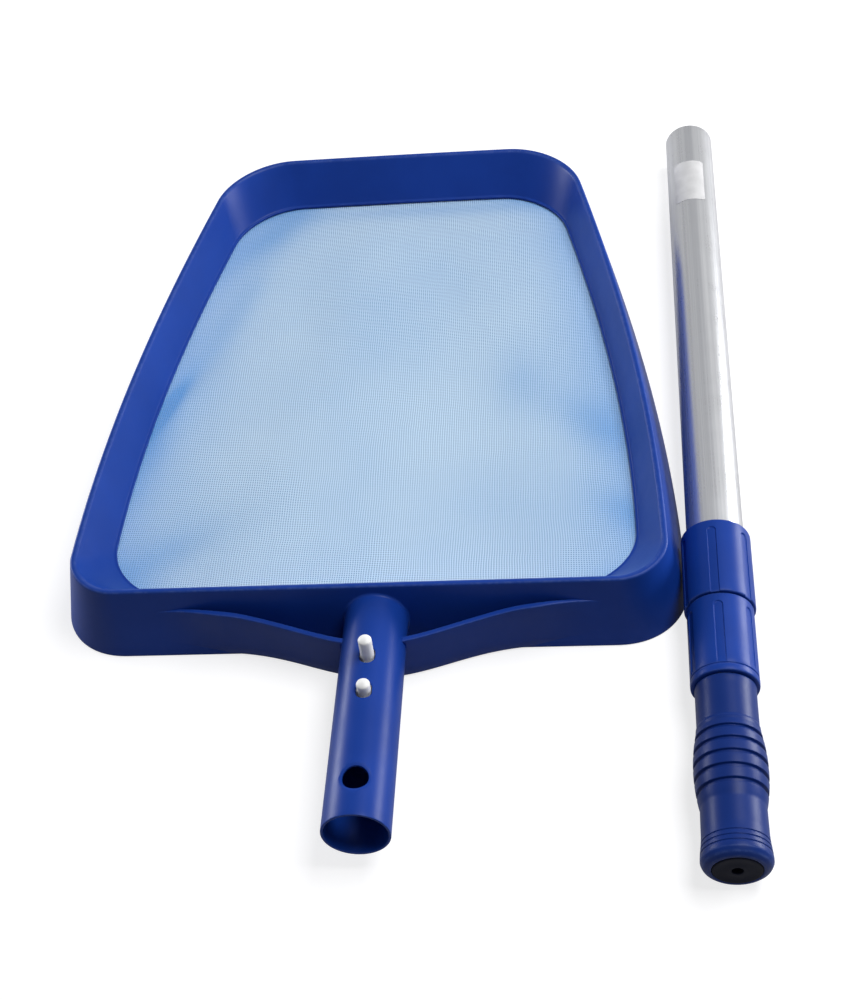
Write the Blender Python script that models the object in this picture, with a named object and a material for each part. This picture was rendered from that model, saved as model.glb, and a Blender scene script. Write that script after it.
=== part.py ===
"""Leaf skimmer head with its telescopic pole lying beside it, in metres, +Z up.

The head lies on its skirt at Z = 0 with its handle socket towards -Y. The pole
lies on the floor on the +X side, with its open end towards +Y. Each object is
one piece of the real product.
"""

import math

import bmesh
import bpy
from mathutils import Matrix, Vector

# ---- Driving dimensions ------------------------------------------------------

CLEARANCE = 0.0003          # gap between pieces that touch

# Tray outline at the crest: a trapezoid with bowed sides and round corners
CREST_LENGTH = 0.341
CREST_NEAR_HALF = 0.147
CREST_FAR_HALF = 0.1021
CREST_SIDE_BOW = 0.0106
CREST_FAR_BOW = 0.0008
CREST_NEAR_RADIUS = 0.022
CREST_FAR_RADIUS = 0.041

# Outline of the net's opening
NET_NEAR_MARGIN = 0.0145    # from the near crest line to the opening
NET_FAR_MARGIN = 0.0181
NET_NEAR_HALF = 0.1325
NET_FAR_HALF = 0.0937
NET_SIDE_BOW = 0.0110
NET_NEAR_RADIUS = 0.031
NET_FAR_RADIUS = 0.037

# Section of the frame
RIM_HEIGHT = 0.041
SIDE_FLARE = 0.0104         # how far the skirt's foot stands outside the crest
END_FLARE = 0.0083          # the same at the near and the far edge
WALL = 0.0021
CREST_WIDTH = 0.0042
CREST_ROUND = 0.0014
FOOT_ROUND = 0.0007
LEDGE_WIDTH = 0.0042
LEDGE_GROOVE_DEPTH = 0.0030
LIP_THICKNESS = 0.0013
NET_HEIGHT = 0.0160         # underside of the net above the floor

# Net
NET_THICKNESS = 0.0008
NET_PITCH = 0.0178
NET_STRAND = 0.0030
NET_BORDER = 0.0040         # solid band inside the ledge
NET_SAG = 0.0030

# Handle socket
SOCKET_DIAMETER = 0.0310
SOCKET_BORE = 0.0286
SOCKET_LENGTH = 0.1265      # along its axis, from the near crest line
SOCKET_TILT = math.radians(3.4)
SOCKET_ROOT_HEIGHT = 0.0204
SOCKET_SHIFT = 0.0060       # its axis stands to the right of the tray's middle line
SOCKET_END_WALL = 0.0025
SOCKET_MOUTH_ROUND = 0.0004
LOCK_HOLE_DIAMETER = 0.0112
LOCK_HOLE_FROM_MOUTH = 0.0197
LOCK_HOLE_SINK = 0.0010     # countersink round the lock hole

# Curved web between the near wall and the socket
WEB_REACH = 0.115           # half of its span
WEB_ROOT = 0.0060           # its middle line in front of the crest line, at its ends
WEB_DEPTH = 0.0175          # how much further it stands out at the socket
WEB_BLEND = 0.020           # length at each end in which it leans into the wall
WEB_HEIGHT = 0.0315
WEB_THICKNESS = 0.0028
WEB_FOOT = 0.0008           # its lower edge above the floor
WEB_POWER = 2.2

# Spring clip in the socket
BUTTON_FROM_ROOT = 0.0382   # along the socket's axis
PEG_FROM_ROOT = 0.0586
PEG_DIAMETER = 0.0064
BUTTON_RISE = 0.0110        # above the socket's wall
PEG_RISE = 0.0045
PEG_HOLE_LENGTH = 0.0096
PEG_HOLE_WIDTH = 0.0074
PEG_HOLE_SHIFT = 0.0006     # towards the mouth, where the lever swings
LEAF_WIDTH = 0.0090
LEAF_THICKNESS = 0.0018
LEAF_GAP_TO_BORE = 0.0026   # room above the lever for the pole's wall
LEAF_TAIL = 0.0050          # lever past the lock peg
CLIP_BEND_RADIUS = 0.0035
CLIP_PIVOT_FROM_ROOT = 0.0165
CLIP_BASE_LENGTH = 0.0230

# Pole, told along its axis from its open far end
POLE_LENGTH = 0.5070
TUBE_WALL = 0.0010
OUTER_TUBE_DIAMETER = 0.0280
MIDDLE_TUBE_DIAMETER = 0.0250
INNER_TUBE_DIAMETER = 0.0220
LOCK_LENGTH = 0.0440
COLLAR_1_DIAMETER = 0.0340
COLLAR_2_DIAMETER = 0.0318
COLLAR_GAP = 0.0005         # between neighbouring collars and the grip
TUBE_IN_LOCK = 0.0200       # how far a tube's end lies inside its lock
SLEEVE_WALL = 0.0011
SLEEVE_WALL_2 = 0.0014
SLEEVE_TAPER = 0.0120
SLEEVE_END_GAP = 0.0050     # from the sleeve's fingers to the collar's end
SLIT_WIDTH = 0.0012
SLIT_COUNT = 4
FINGER_SLOT_COUNT = 6
FINGER_SLOT_WIDTH = 0.0042
FINGER_SLOT_DEPTH = 0.00055
FINGER_SLOT_START = 0.0045  # from the collar's far edge to the round end
COLLAR_ROUND = 0.0007
GUIDE_FLANGE = 0.0032
GUIDE_SPIGOT = 0.0100
GUIDE_RUNNING_GAP = 0.00015
GUIDE_WALL = 0.0017
MIDDLE_TUBE_START = 0.0300
INNER_TUBE_START = 0.0500
POLE_PEG_HOLE = 0.0070
POLE_PEG_HOLE_FROM_END = 0.0145

# Grip
GRIP_LENGTH = 0.0920        # from the second collar to the end cap's face
GRIP_NECK_DIAMETER = 0.0281
GRIP_BARREL_DIAMETER = 0.0334
GRIP_WAIST_DIAMETER = 0.0289
GRIP_END_DIAMETER = 0.0312
GRIP_NECK_LENGTH = 0.0225
GRIP_BARREL_LENGTH = 0.0400
GRIP_WAIST_LENGTH = 0.0175
GROOVE_COUNT = 5
GROOVE_PITCH = 0.0069
GROOVE_WIDTH = 0.0016
GROOVE_DEPTH = 0.0012
FINE_GROOVE_COUNT = 3
FINE_GROOVE_PITCH = 0.0026
FINE_GROOVE_WIDTH = 0.0006
FINE_GROOVE_DEPTH = 0.0004
GRIP_CHAMFER = 0.0036
INNER_TUBE_IN_GRIP = 0.0620
END_CAP_DIAMETER = 0.0215
END_CAP_THICKNESS = 0.0022
END_CAP_HOLE = 0.0052
END_CAP_SPIGOT = 0.0080

# Where the pole lies beside the head
POLE_GAP = 0.0006           # between the head's corner and the first collar
POLE_TURN = math.radians(1.2)
POLE_END_Y = 0.3677         # its open end, from the near crest line

# Facets
CORNER_STEPS = 9
SIDE_STEPS = 7
END_STEPS = 6
ROUND_STEPS = 36
GRIP_STEPS = 30

BLUE = (0.012, 0.040, 0.270)
WHITE = (0.800, 0.790, 0.770)
NET_BLUE = (0.430, 0.600, 0.780)
ALUMINIUM = (0.610, 0.620, 0.640)
GREY = (0.075, 0.080, 0.100)

# ---- Helpers -----------------------------------------------------------------


def clear_scene():
    for item in list(bpy.data.objects):
        bpy.data.objects.remove(item, do_unlink=True)


def make_material(name, colour, roughness, metallic=0.0):
    material = bpy.data.materials.new(name)
    material.use_nodes = True
    shader = material.node_tree.nodes["Principled BSDF"]
    shader.inputs["Base Color"].default_value = (*colour, 1.0)
    shader.inputs["Roughness"].default_value = roughness
    shader.inputs["Metallic"].default_value = metallic
    material.diffuse_color = (*colour, 1.0)
    return material


def object_from(bm, name, material=None, parent=None, matrix=None, sharp=30.0):
    """Turn a bmesh into an object, smooth but for its sharp edges."""
    bmesh.ops.recalc_face_normals(bm, faces=bm.faces)
    mesh = bpy.data.meshes.new(name)
    bm.to_mesh(mesh)
    bm.free()
    mesh.shade_smooth()
    mesh.set_sharp_from_angle(angle=math.radians(sharp))
    piece = bpy.data.objects.new(name, mesh)
    bpy.context.scene.collection.objects.link(piece)
    if material:
        mesh.materials.append(material)
    if parent:
        piece.parent = parent
    if matrix is not None:
        piece.matrix_local = matrix
    return piece


def make_empty(name, parent=None, matrix=None):
    empty = bpy.data.objects.new(name, None)
    empty.empty_display_size = 0.02
    bpy.context.scene.collection.objects.link(empty)
    empty.parent = parent
    if matrix is not None:
        empty.matrix_local = matrix
    return empty


def combine(piece, other, operation):
    """Cut or join another mesh with the Boolean modifier and hide that mesh."""
    modifier = piece.modifiers.new(f"{operation.lower()} {other.name}", "BOOLEAN")
    modifier.operation = operation
    modifier.solver = "EXACT"
    modifier.object = other
    other.hide_render = True
    other.display_type = "WIRE"


def turned(profile, steps):
    """Spin a profile of (height, radius) points round local Z: a closed loop, or
    an open line whose two ends lie on the axis."""
    bm = bmesh.new()
    verts = [bm.verts.new((radius, 0.0, height)) for height, radius in profile]
    edges = [bm.edges.new((a, b)) for a, b in zip(verts, verts[1:])]
    if profile[0][1] > 0.0:
        edges.append(bm.edges.new((verts[-1], verts[0])))
    # half a step round, so that a flat facet and not an edge faces local X and Y
    start = Matrix.Rotation(math.pi / steps, 4, "Z")
    bmesh.ops.transform(bm, matrix=start, verts=verts)
    bmesh.ops.spin(
        bm, geom=verts + edges, cent=(0, 0, 0), axis=(0, 0, 1),
        angle=2 * math.pi, steps=steps, use_merge=True,
    )
    bmesh.ops.remove_doubles(bm, verts=bm.verts, dist=1e-7)
    return bm


def prism(points, low, high):
    """Close an outline of (x, y) points into a block between two heights."""
    bm = bmesh.new()
    face = bm.faces.new([bm.verts.new((x, y, low)) for x, y in points])
    raised = bmesh.ops.extrude_face_region(bm, geom=[face])
    lifted = [item for item in raised["geom"] if isinstance(item, bmesh.types.BMVert)]
    bmesh.ops.translate(bm, verts=lifted, vec=(0, 0, high - low))
    return bm


def rod(radius, low, high, steps):
    """A solid cylinder round local Z."""
    ring = [2 * math.pi * k / steps for k in range(steps)]
    return prism([(radius * math.cos(a), radius * math.sin(a)) for a in ring], low, high)


def arc(centre, radius, start, end, steps):
    angles = [start + (end - start) * k / steps for k in range(steps + 1)]
    return [(centre[0] + radius * math.cos(a), centre[1] + radius * math.sin(a)) for a in angles]


# ---- Outlines of the tray ----------------------------------------------------


class TrayOutline:
    """A trapezoid with round corners and bowed sides, with the same number of
    points whatever its size, so that two outlines can be joined point by point."""

    def __init__(self, near, far, near_half, far_half, near_radius, far_radius,
                 side_bow, far_bow=0.0):
        self.near, self.far = near, far
        self.near_half, self.far_half = near_half, far_half
        self.near_radius, self.far_radius = near_radius, far_radius
        self.side_bow, self.far_bow = side_bow, far_bow
        self.points = self.trace()
        self.normals = self.outward()

    def trace(self):
        """Right half from the near middle to the far middle, then its mirror."""
        lean = math.atan2(self.near_half - self.far_half, self.far - self.near)
        near_turn = (math.pi / 2 + lean) / 2
        far_turn = (math.pi / 2 - lean) / 2
        near_cut = self.near_radius * math.tan(near_turn)
        far_cut = self.far_radius * math.tan(far_turn)
        near_centre = (self.near_half - near_cut, self.near + self.near_radius)
        far_centre = (self.far_half - far_cut, self.far - self.far_radius)
        near_arc = arc(near_centre, self.near_radius, -math.pi / 2, lean, CORNER_STEPS)
        far_arc = arc(far_centre, self.far_radius, lean, math.pi / 2, CORNER_STEPS)
        near_line = [(near_arc[0][0] * k / END_STEPS, self.near) for k in range(END_STEPS)]
        side = [
            tuple(a + (b - a) * k / SIDE_STEPS for a, b in zip(near_arc[-1], far_arc[0]))
            for k in range(1, SIDE_STEPS)
        ]
        far_line = [
            (far_arc[-1][0] * (1 - k / END_STEPS), self.far) for k in range(1, END_STEPS + 1)
        ]
        half = [self.bowed(point) for point in near_line + near_arc + side + far_arc + far_line]
        return half + [(-x, y) for x, y in half[-2:0:-1]]

    def bowed(self, point):
        """Swell the sides outwards and round the far edge gently."""
        x, y = point
        along = (y - self.near) / (self.far - self.near)
        swell = 1 + 8 * self.side_bow * along * (1 - along) / (self.near_half + self.far_half)
        drop = self.far_bow * along * (x / self.far_half) ** 2
        return x * swell, y - drop

    def outward(self):
        count = len(self.points)
        normals = []
        for k in range(count):
            before = Vector(self.points[k - 1])
            after = Vector(self.points[(k + 1) % count])
            along = (after - before).normalized()
            normals.append(Vector((along.y, -along.x)))
        return normals

    def ring(self, offset=0.0):
        return [Vector(p) + n * offset for p, n in zip(self.points, self.normals)]

    def half_width(self, y):
        """Half of the width at a distance from the near edge."""
        rows = sorted((point[1], point[0]) for point in self.points if point[0] >= 0)
        for (y0, x0), (y1, x1) in zip(rows, rows[1:]):
            if y0 <= y <= y1 and y1 > y0:
                return x0 + (x1 - x0) * (y - y0) / (y1 - y0)
        return 0.0


def crest_outline():
    return TrayOutline(
        0.0, CREST_LENGTH, CREST_NEAR_HALF, CREST_FAR_HALF, CREST_NEAR_RADIUS,
        CREST_FAR_RADIUS, CREST_SIDE_BOW, CREST_FAR_BOW,
    )


def net_outline():
    return TrayOutline(
        NET_NEAR_MARGIN, CREST_LENGTH - NET_FAR_MARGIN, NET_NEAR_HALF, NET_FAR_HALF,
        NET_NEAR_RADIUS, NET_FAR_RADIUS, NET_SIDE_BOW, CREST_FAR_BOW,
    )


# ---- Head --------------------------------------------------------------------


def skirt_ring(crest, height, inset=0.0):
    """The leaning outside of the skirt at a height, or a ring inside it."""
    share = 1 - height / RIM_HEIGHT
    ring = []
    for point, normal in zip(crest.points, crest.normals):
        flare = END_FLARE + (SIDE_FLARE - END_FLARE) * math.sqrt(abs(normal.x))
        ring.append(Vector(point) + normal * (flare * share - inset))
    return ring


def frame_section(crest, opening):
    """The frame's cross-section as rings of (points, height), in order round it."""
    groove_height = NET_THICKNESS + 2 * CLEARANCE
    groove_low = NET_HEIGHT - CLEARANCE
    groove_high = groove_low + groove_height
    ledge_top = groove_high + LIP_THICKNESS
    lip_low = groove_low - LIP_THICKNESS
    slope_top = crest.ring(-CREST_WIDTH)
    slope_foot = opening.ring(LEDGE_WIDTH)
    top = RIM_HEIGHT

    def on_slope(share, drop):
        """A ring part of the way down the slope, moved square to it."""
        rings = zip(slope_top, slope_foot)
        return [a.lerp(b, share) for a, b in rings], top + (ledge_top - top) * share - drop

    return [
        (skirt_ring(crest, 0.0, FOOT_ROUND), 0.0),
        (skirt_ring(crest, 0.0), FOOT_ROUND),
        (skirt_ring(crest, top - CREST_ROUND), top - CREST_ROUND),
        (crest.ring(-CREST_ROUND * 0.35), top - CREST_ROUND * 0.3),
        (crest.ring(-CREST_ROUND), top),
        (crest.ring(-CREST_WIDTH + CREST_ROUND), top - CREST_ROUND * 0.15),
        on_slope(0.0, CREST_ROUND),
        on_slope(0.97, 0.0),
        (opening.ring(LEDGE_WIDTH * 0.9), ledge_top),
        (opening.ring(0.0), ledge_top),
        (opening.ring(0.0), groove_high),
        (opening.ring(LEDGE_GROOVE_DEPTH), groove_high),
        (opening.ring(LEDGE_GROOVE_DEPTH), groove_low),
        (opening.ring(0.0), groove_low),
        (opening.ring(0.0), lip_low),
        (opening.ring(LEDGE_WIDTH + WALL * 0.6), lip_low),
        (crest.ring(-CREST_WIDTH + WALL * 0.1), top - WALL * 2.2),
        (crest.ring(-WALL), top - WALL * 1.9),
        (skirt_ring(crest, 0.0, WALL), FOOT_ROUND),
        (skirt_ring(crest, 0.0, WALL - FOOT_ROUND * 0.6), 0.0),
    ]


def tray_shell():
    """Loft the frame's section round the tray."""
    bm = bmesh.new()
    rings = []
    for points, height in frame_section(crest_outline(), net_outline()):
        rings.append([bm.verts.new((p.x, p.y, height)) for p in points])
    count = len(rings[0])
    for inner, outer in zip(rings, rings[1:] + rings[:1]):
        for k in range(count):
            nxt = (k + 1) % count
            bm.faces.new((inner[k], inner[nxt], outer[nxt], outer[k]))
    return bm


def socket_frame():
    """Local Z runs along the socket's axis from the near wall to its mouth, and
    local Y points up."""
    turn = Matrix.Rotation(math.pi / 2 - SOCKET_TILT, 4, "X")
    return Matrix.Translation((SOCKET_SHIFT, 0.0, SOCKET_ROOT_HEIGHT)) @ turn


def wall_from_root():
    """The near wall's outside on the socket's axis, from the crest line."""
    return END_FLARE * (1 - SOCKET_ROOT_HEIGHT / RIM_HEIGHT)


def wall_lean():
    """How the near wall leans from square to the socket's axis, as a slope."""
    return END_FLARE / RIM_HEIGHT - math.tan(SOCKET_TILT)


def socket_outside():
    """The socket before it is bored, sunk into the leaning near wall at its root."""
    outer = SOCKET_DIAMETER / 2
    start = wall_from_root() - WALL * 0.5
    edge = SOCKET_MOUTH_ROUND
    bm = turned(
        [
            (start, 0.0), (start, outer), (SOCKET_LENGTH - edge, outer),
            (SOCKET_LENGTH, outer - edge), (SOCKET_LENGTH, 0.0),
        ],
        ROUND_STEPS,
    )
    for vert in bm.verts:
        if vert.co.z < start + 1e-5:
            vert.co.z -= vert.co.y * wall_lean()
    return bm


def socket_floor():
    """Where the bore ends, along the axis from the near crest line."""
    return wall_from_root() + SOCKET_END_WALL + SOCKET_DIAMETER / 2 * wall_lean()


def socket_bore():
    inner = SOCKET_BORE / 2
    edge = SOCKET_MOUTH_ROUND
    over = 0.003
    return turned(
        [
            (socket_floor(), 0.0), (socket_floor(), inner), (SOCKET_LENGTH - edge, inner),
            (SOCKET_LENGTH + over, inner + edge + over), (SOCKET_LENGTH + over, 0.0),
        ],
        ROUND_STEPS,
    )


def web_offset(x, height):
    """How far the web's middle stands in front of the crest line: upright along
    most of its span, and leaning with the near wall at its ends."""
    swell = (1 + math.cos(math.pi * x / WEB_REACH)) / 2
    upright = WEB_ROOT + WEB_DEPTH * swell ** WEB_POWER
    in_wall = END_FLARE * (1 - height / RIM_HEIGHT) - WALL / 2
    return in_wall + (upright - in_wall) * web_share(x)


def web_share(x):
    """0 where the web's end lies in the wall and 1 past its blend."""
    share = min(1.0, (WEB_REACH - abs(x)) / WEB_BLEND)
    return share * share * (3 - 2 * share)


def curved_web():
    """A strip of four-sided rings from end to end, with softened upper edges."""
    steps = 36
    top = WEB_FOOT + WEB_HEIGHT
    soft = 0.0006
    bm = bmesh.new()
    rings = []
    for k in range(steps + 1):
        x = -WEB_REACH + 2 * WEB_REACH * k / steps
        half = WALL * 0.3 + (WEB_THICKNESS / 2 - WALL * 0.3) * web_share(x)
        section = [
            (half, WEB_FOOT), (half, top - soft), (half - soft, top),
            (soft - half, top), (-half, top - soft), (-half, WEB_FOOT),
        ]
        rings.append([
            bm.verts.new((SOCKET_SHIFT + x, -web_offset(x, z) - out, z)) for out, z in section
        ])
    count = len(rings[0])
    for near, far in zip(rings, rings[1:]):
        for k in range(count):
            nxt = (k + 1) % count
            bm.faces.new((near[k], near[nxt], far[nxt], far[k]))
    bm.faces.new(rings[0])
    bm.faces.new(rings[-1][::-1])
    return bm


def slot_outline(length, width, steps):
    """A capsule along local Y, round at both ends."""
    half = max(0.0, (length - width) / 2)
    top = arc((0.0, half), width / 2, 0.0, math.pi, steps)
    bottom = arc((0.0, -half), width / 2, math.pi, 2 * math.pi, steps)
    return top + bottom


def across_socket(from_root):
    """Local Z points up through the socket's upper wall, local Y to its root."""
    along = Matrix.Translation((0.0, 0.0, from_root))
    return socket_frame() @ along @ Matrix.Rotation(-math.pi / 2, 4, "X")


def socket_hole(name, length, width, from_root, parent):
    """A cutter through the socket's upper wall only."""
    bm = prism(slot_outline(length, width, 8), 0.0, SOCKET_DIAMETER)
    return object_from(bm, name, parent=parent, matrix=across_socket(from_root))


def countersunk_hole():
    radius = LOCK_HOLE_DIAMETER / 2
    top = SOCKET_DIAMETER / 2
    sink = LOCK_HOLE_SINK
    return turned(
        [
            (0.0, 0.0), (0.0, radius), (top - sink, radius), (top + sink, radius + 1.2 * sink),
            (top + 4 * sink, radius + 1.2 * sink), (top + 4 * sink, 0.0),
        ],
        24,
    )


def build_frame(head, material):
    frame = object_from(tray_shell(), "skimmer_frame", material, head)
    web = object_from(curved_web(), "web_join", parent=head)
    tube = object_from(socket_outside(), "socket_join", parent=head, matrix=socket_frame())
    bore = object_from(socket_bore(), "bore_cut", parent=head, matrix=socket_frame())
    combine(frame, web, "UNION")
    combine(frame, tube, "UNION")
    combine(frame, bore, "DIFFERENCE")
    for name, from_root in (("button", BUTTON_FROM_ROOT), ("peg", PEG_FROM_ROOT)):
        hole = socket_hole(
            f"{name}_hole_cut", PEG_HOLE_LENGTH, PEG_HOLE_WIDTH,
            from_root + PEG_HOLE_SHIFT, head,
        )
        combine(frame, hole, "DIFFERENCE")
    combine(frame, object_from(
        countersunk_hole(), "lock_hole_cut", parent=head,
        matrix=across_socket(SOCKET_LENGTH - LOCK_HOLE_FROM_MOUTH),
    ), "DIFFERENCE")
    return frame


def net_rows(field):
    """Middles of the rows of gaps, centred between the field's edges."""
    rows = int((field.far - field.near + NET_STRAND) / NET_PITCH)
    first = (field.near + field.far - (rows - 1) * NET_PITCH) / 2
    return [first + row * NET_PITCH for row in range(rows)]


def net_columns(field):
    columns = int(max(field.near_half, field.far_half) / NET_PITCH + 0.9)
    return [column * NET_PITCH for column in range(-columns, columns + 1)]


def net_field():
    """What the gaps fill: the opening less a solid border."""
    return TrayOutline(
        NET_NEAR_MARGIN + NET_BORDER, CREST_LENGTH - NET_FAR_MARGIN - NET_BORDER,
        NET_NEAR_HALF - NET_BORDER, NET_FAR_HALF - NET_BORDER,
        NET_NEAR_RADIUS - NET_BORDER, NET_FAR_RADIUS - NET_BORDER, NET_SIDE_BOW, CREST_FAR_BOW,
    )


def build_net(head, material):
    """The net as a lattice inside a solid border, with a slight sag."""
    opening, field = net_outline(), net_field()
    edge = opening.ring(LEDGE_GROOVE_DEPTH - CLEARANCE)
    plate = prism([(p.x, p.y) for p in edge], 0.0, NET_THICKNESS)
    net = object_from(plate, "skimmer_net", material, head)
    holes = object_from(net_gaps(field), "net_gap_cut", parent=head)
    limit = object_from(
        prism([(p.x, p.y) for p in field.ring()], -0.005, 0.005), "net_field", parent=head,
    )
    combine(holes, limit, "INTERSECT")
    combine(net, holes, "DIFFERENCE")
    bpy.context.view_layer.update()
    apply_modifiers(net)
    sag_net(net, opening, field)
    return net


def net_gaps(field):
    """Square gaps on a grid centred on the head's middle line."""
    bm = bmesh.new()
    gap = NET_PITCH - NET_STRAND
    for y in net_rows(field):
        ends = [min(max(y + side * gap / 2, field.near), field.far) for side in (-1, 0, 1)]
        reach = min(field.half_width(end) for end in ends)
        for x in net_columns(field):
            if abs(x) - gap / 2 > reach - NET_STRAND:
                continue
            bmesh.ops.create_cube(
                bm, size=1.0,
                matrix=Matrix.Translation((x, y, 0.0)) @ Matrix.Diagonal((gap, gap, 0.008, 1.0)),
            )
    return bm


def apply_modifiers(piece):
    graph = bpy.context.evaluated_depsgraph_get()
    mesh = bpy.data.meshes.new_from_object(piece.evaluated_get(graph))
    piece.modifiers.clear()
    piece.data = mesh


def sag_net(net, opening, field):
    """Lower the middle of the net, and lift it all to its height."""
    bm = bmesh.new()
    bm.from_mesh(net.data)
    # cuts along the middles of some strands let long faces follow the sag
    cuts = [((0, y + NET_PITCH / 2, 0), (0, 1, 0)) for y in net_rows(field)[1::3]]
    cuts += [((x + NET_PITCH / 2, 0, 0), (1, 0, 0)) for x in net_columns(field)[1::3]]
    for place, across in cuts:
        bmesh.ops.bisect_plane(
            bm, geom=bm.verts[:] + bm.edges[:] + bm.faces[:], dist=1e-7,
            plane_co=place, plane_no=across,
        )
    bmesh.ops.triangulate(bm, faces=bm.faces)
    middle = (opening.near + opening.far) / 2
    reach = (opening.far - opening.near) / 2
    for vert in bm.verts:
        across = vert.co.x / max(opening.half_width(vert.co.y), opening.far_half / 2)
        along = (vert.co.y - middle) / reach
        depth = max(0.0, 1 - across ** 2) * max(0.0, 1 - along ** 2)
        vert.co.z += NET_HEIGHT - NET_SAG * depth
    bm.to_mesh(net.data)
    bm.free()
    net.data.shade_smooth()
    net.data.set_sharp_from_angle(angle=math.radians(30))


# ---- Spring clip -------------------------------------------------------------


def leaf_height():
    """Top of the lever above the socket's axis."""
    return SOCKET_BORE / 2 - LEAF_GAP_TO_BORE


def pivot_frame():
    """On the lever's hinge line, with the axes of the socket."""
    pivot = (0.0, leaf_height() - LEAF_THICKNESS / 2, CLIP_PIVOT_FROM_ROOT)
    return socket_frame() @ Matrix.Translation(pivot)


def side_prism(points, half_width):
    """Extrude an outline of (along, up) points across the socket."""
    bm = prism([(along, up) for along, up in points], -half_width, half_width)
    turn = Matrix(((0, 0, 1, 0), (0, 1, 0, 0), (1, 0, 0, 0), (0, 0, 0, 1)))
    bmesh.ops.transform(bm, matrix=turn, verts=bm.verts)
    return bm


def build_clip_button(head, material):
    hinge = make_empty("clip_hinge", head, pivot_frame())
    along = PEG_FROM_ROOT - CLIP_PIVOT_FROM_ROOT + LEAF_TAIL
    half = LEAF_THICKNESS / 2
    outline = [(CLEARANCE, -half), (along, -half)]
    outline += arc((along, 0.0), half, -math.pi / 2, math.pi / 2, 4)[1:]
    outline += [(CLEARANCE, half)]
    lever = object_from(
        side_prism(outline, LEAF_WIDTH / 2), "clip_button", material, hinge,
    )
    rise = SOCKET_DIAMETER / 2 - leaf_height() + half
    for name, from_root, height in (
        ("button", BUTTON_FROM_ROOT, BUTTON_RISE), ("peg", PEG_FROM_ROOT, PEG_RISE),
    ):
        post = round_post(PEG_DIAMETER / 2, rise + height)
        matrix = (
            Matrix.Translation((0.0, 0.0, from_root - CLIP_PIVOT_FROM_ROOT))
            @ Matrix.Rotation(-math.pi / 2, 4, "X")
        )
        combine(lever, object_from(post, f"{name}_join", parent=hinge, matrix=matrix), "UNION")
    return lever


def round_post(radius, height):
    """A post with a domed top, standing on its foot."""
    dome = [(height - radius * 0.45 + radius * 0.45 * math.sin(a), radius * math.cos(a))
            for a in (0.0, 0.45, 0.9, 1.25)]
    return turned([(0.0, 0.0), (0.0, radius)] + dome + [(height, 0.0)], 16)


def build_clip_base(head, material):
    """The lower leaf, folded round from the lever's hinge to the socket's floor."""
    half = LEAF_THICKNESS / 2
    top = leaf_height() - half
    low = -math.sqrt((SOCKET_BORE / 2 - CLEARANCE) ** 2 - (LEAF_WIDTH / 2) ** 2) + half + 0.0002
    bend = CLIP_BEND_RADIUS
    near = CLIP_PIVOT_FROM_ROOT
    route = [(near - CLEARANCE, top)]
    route += arc((near - 0.001, top - bend), bend, math.pi / 2, math.pi, 5)
    route += arc((near - 0.001, low + bend), bend, math.pi, 1.5 * math.pi, 5)
    route += [(near + CLIP_BASE_LENGTH, low)]
    bm = side_prism(thickened(route, half), LEAF_WIDTH / 2)
    return object_from(bm, "clip_base", material, head, socket_frame())


def thickened(route, half):
    """Both sides of a strip that follows a route of (along, up) points."""
    left, right = [], []
    for k, point in enumerate(route):
        before = Vector(route[max(k - 1, 0)])
        after = Vector(route[min(k + 1, len(route) - 1)])
        along = (after - before).normalized()
        across = Vector((-along.y, along.x)) * half
        left.append(tuple(Vector(point) + across))
        right.append(tuple(Vector(point) - across))
    return left + right[::-1]


# ---- Pole --------------------------------------------------------------------


def pole_stations():
    """Distances along the pole that its pieces share."""
    lock_2_end = POLE_LENGTH - GRIP_LENGTH - COLLAR_GAP
    lock_2_start = lock_2_end - LOCK_LENGTH
    lock_1_end = lock_2_start - COLLAR_GAP
    lock_1_start = lock_1_end - LOCK_LENGTH
    return {
        "lock_1_start": lock_1_start,
        "lock_1_end": lock_1_end,
        "lock_2_start": lock_2_start,
        "lock_2_end": lock_2_end,
        "outer_tube_end": lock_1_start + TUBE_IN_LOCK,
        "middle_tube_end": lock_2_start + TUBE_IN_LOCK,
        "grip_start": lock_2_end + COLLAR_GAP,
        "inner_tube_end": lock_2_end + COLLAR_GAP + INNER_TUBE_IN_GRIP,
    }


def pole_matrix(crest):
    """Local Z runs along the pole from its open end to the grip, on the floor
    beside the head, clear of its corner by POLE_GAP."""
    radius = max(COLLAR_1_DIAMETER, GRIP_BARREL_DIAMETER) / 2
    turn = POLE_TURN
    reach = 0.0
    for k in range(1, 24):
        height = 2 * radius * k / 24
        chord = math.sqrt(radius ** 2 - (height - radius) ** 2)
        widest = max(
            p.x * math.cos(turn) - p.y * math.sin(turn) for p in skirt_ring(crest, height)
        )
        reach = max(reach, widest + chord + POLE_GAP)
    # a point on the axis at POLE_END_Y, with x cos(turn) - y sin(turn) = reach
    end = Vector(((reach + POLE_END_Y * math.sin(turn)) / math.cos(turn), POLE_END_Y, radius))
    aim = Matrix.Rotation(-turn, 4, "Z") @ Matrix.Rotation(math.pi / 2, 4, "X")
    return Matrix.Translation(end) @ aim


def tube_profile(diameter, start, end):
    outer = diameter / 2
    inner = outer - TUBE_WALL
    return [(start, inner), (start, outer), (end, outer), (end, inner)]


def build_tube(name, diameter, start, end, material, pole):
    return object_from(turned(tube_profile(diameter, start, end), ROUND_STEPS), name, material, pole)


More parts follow.
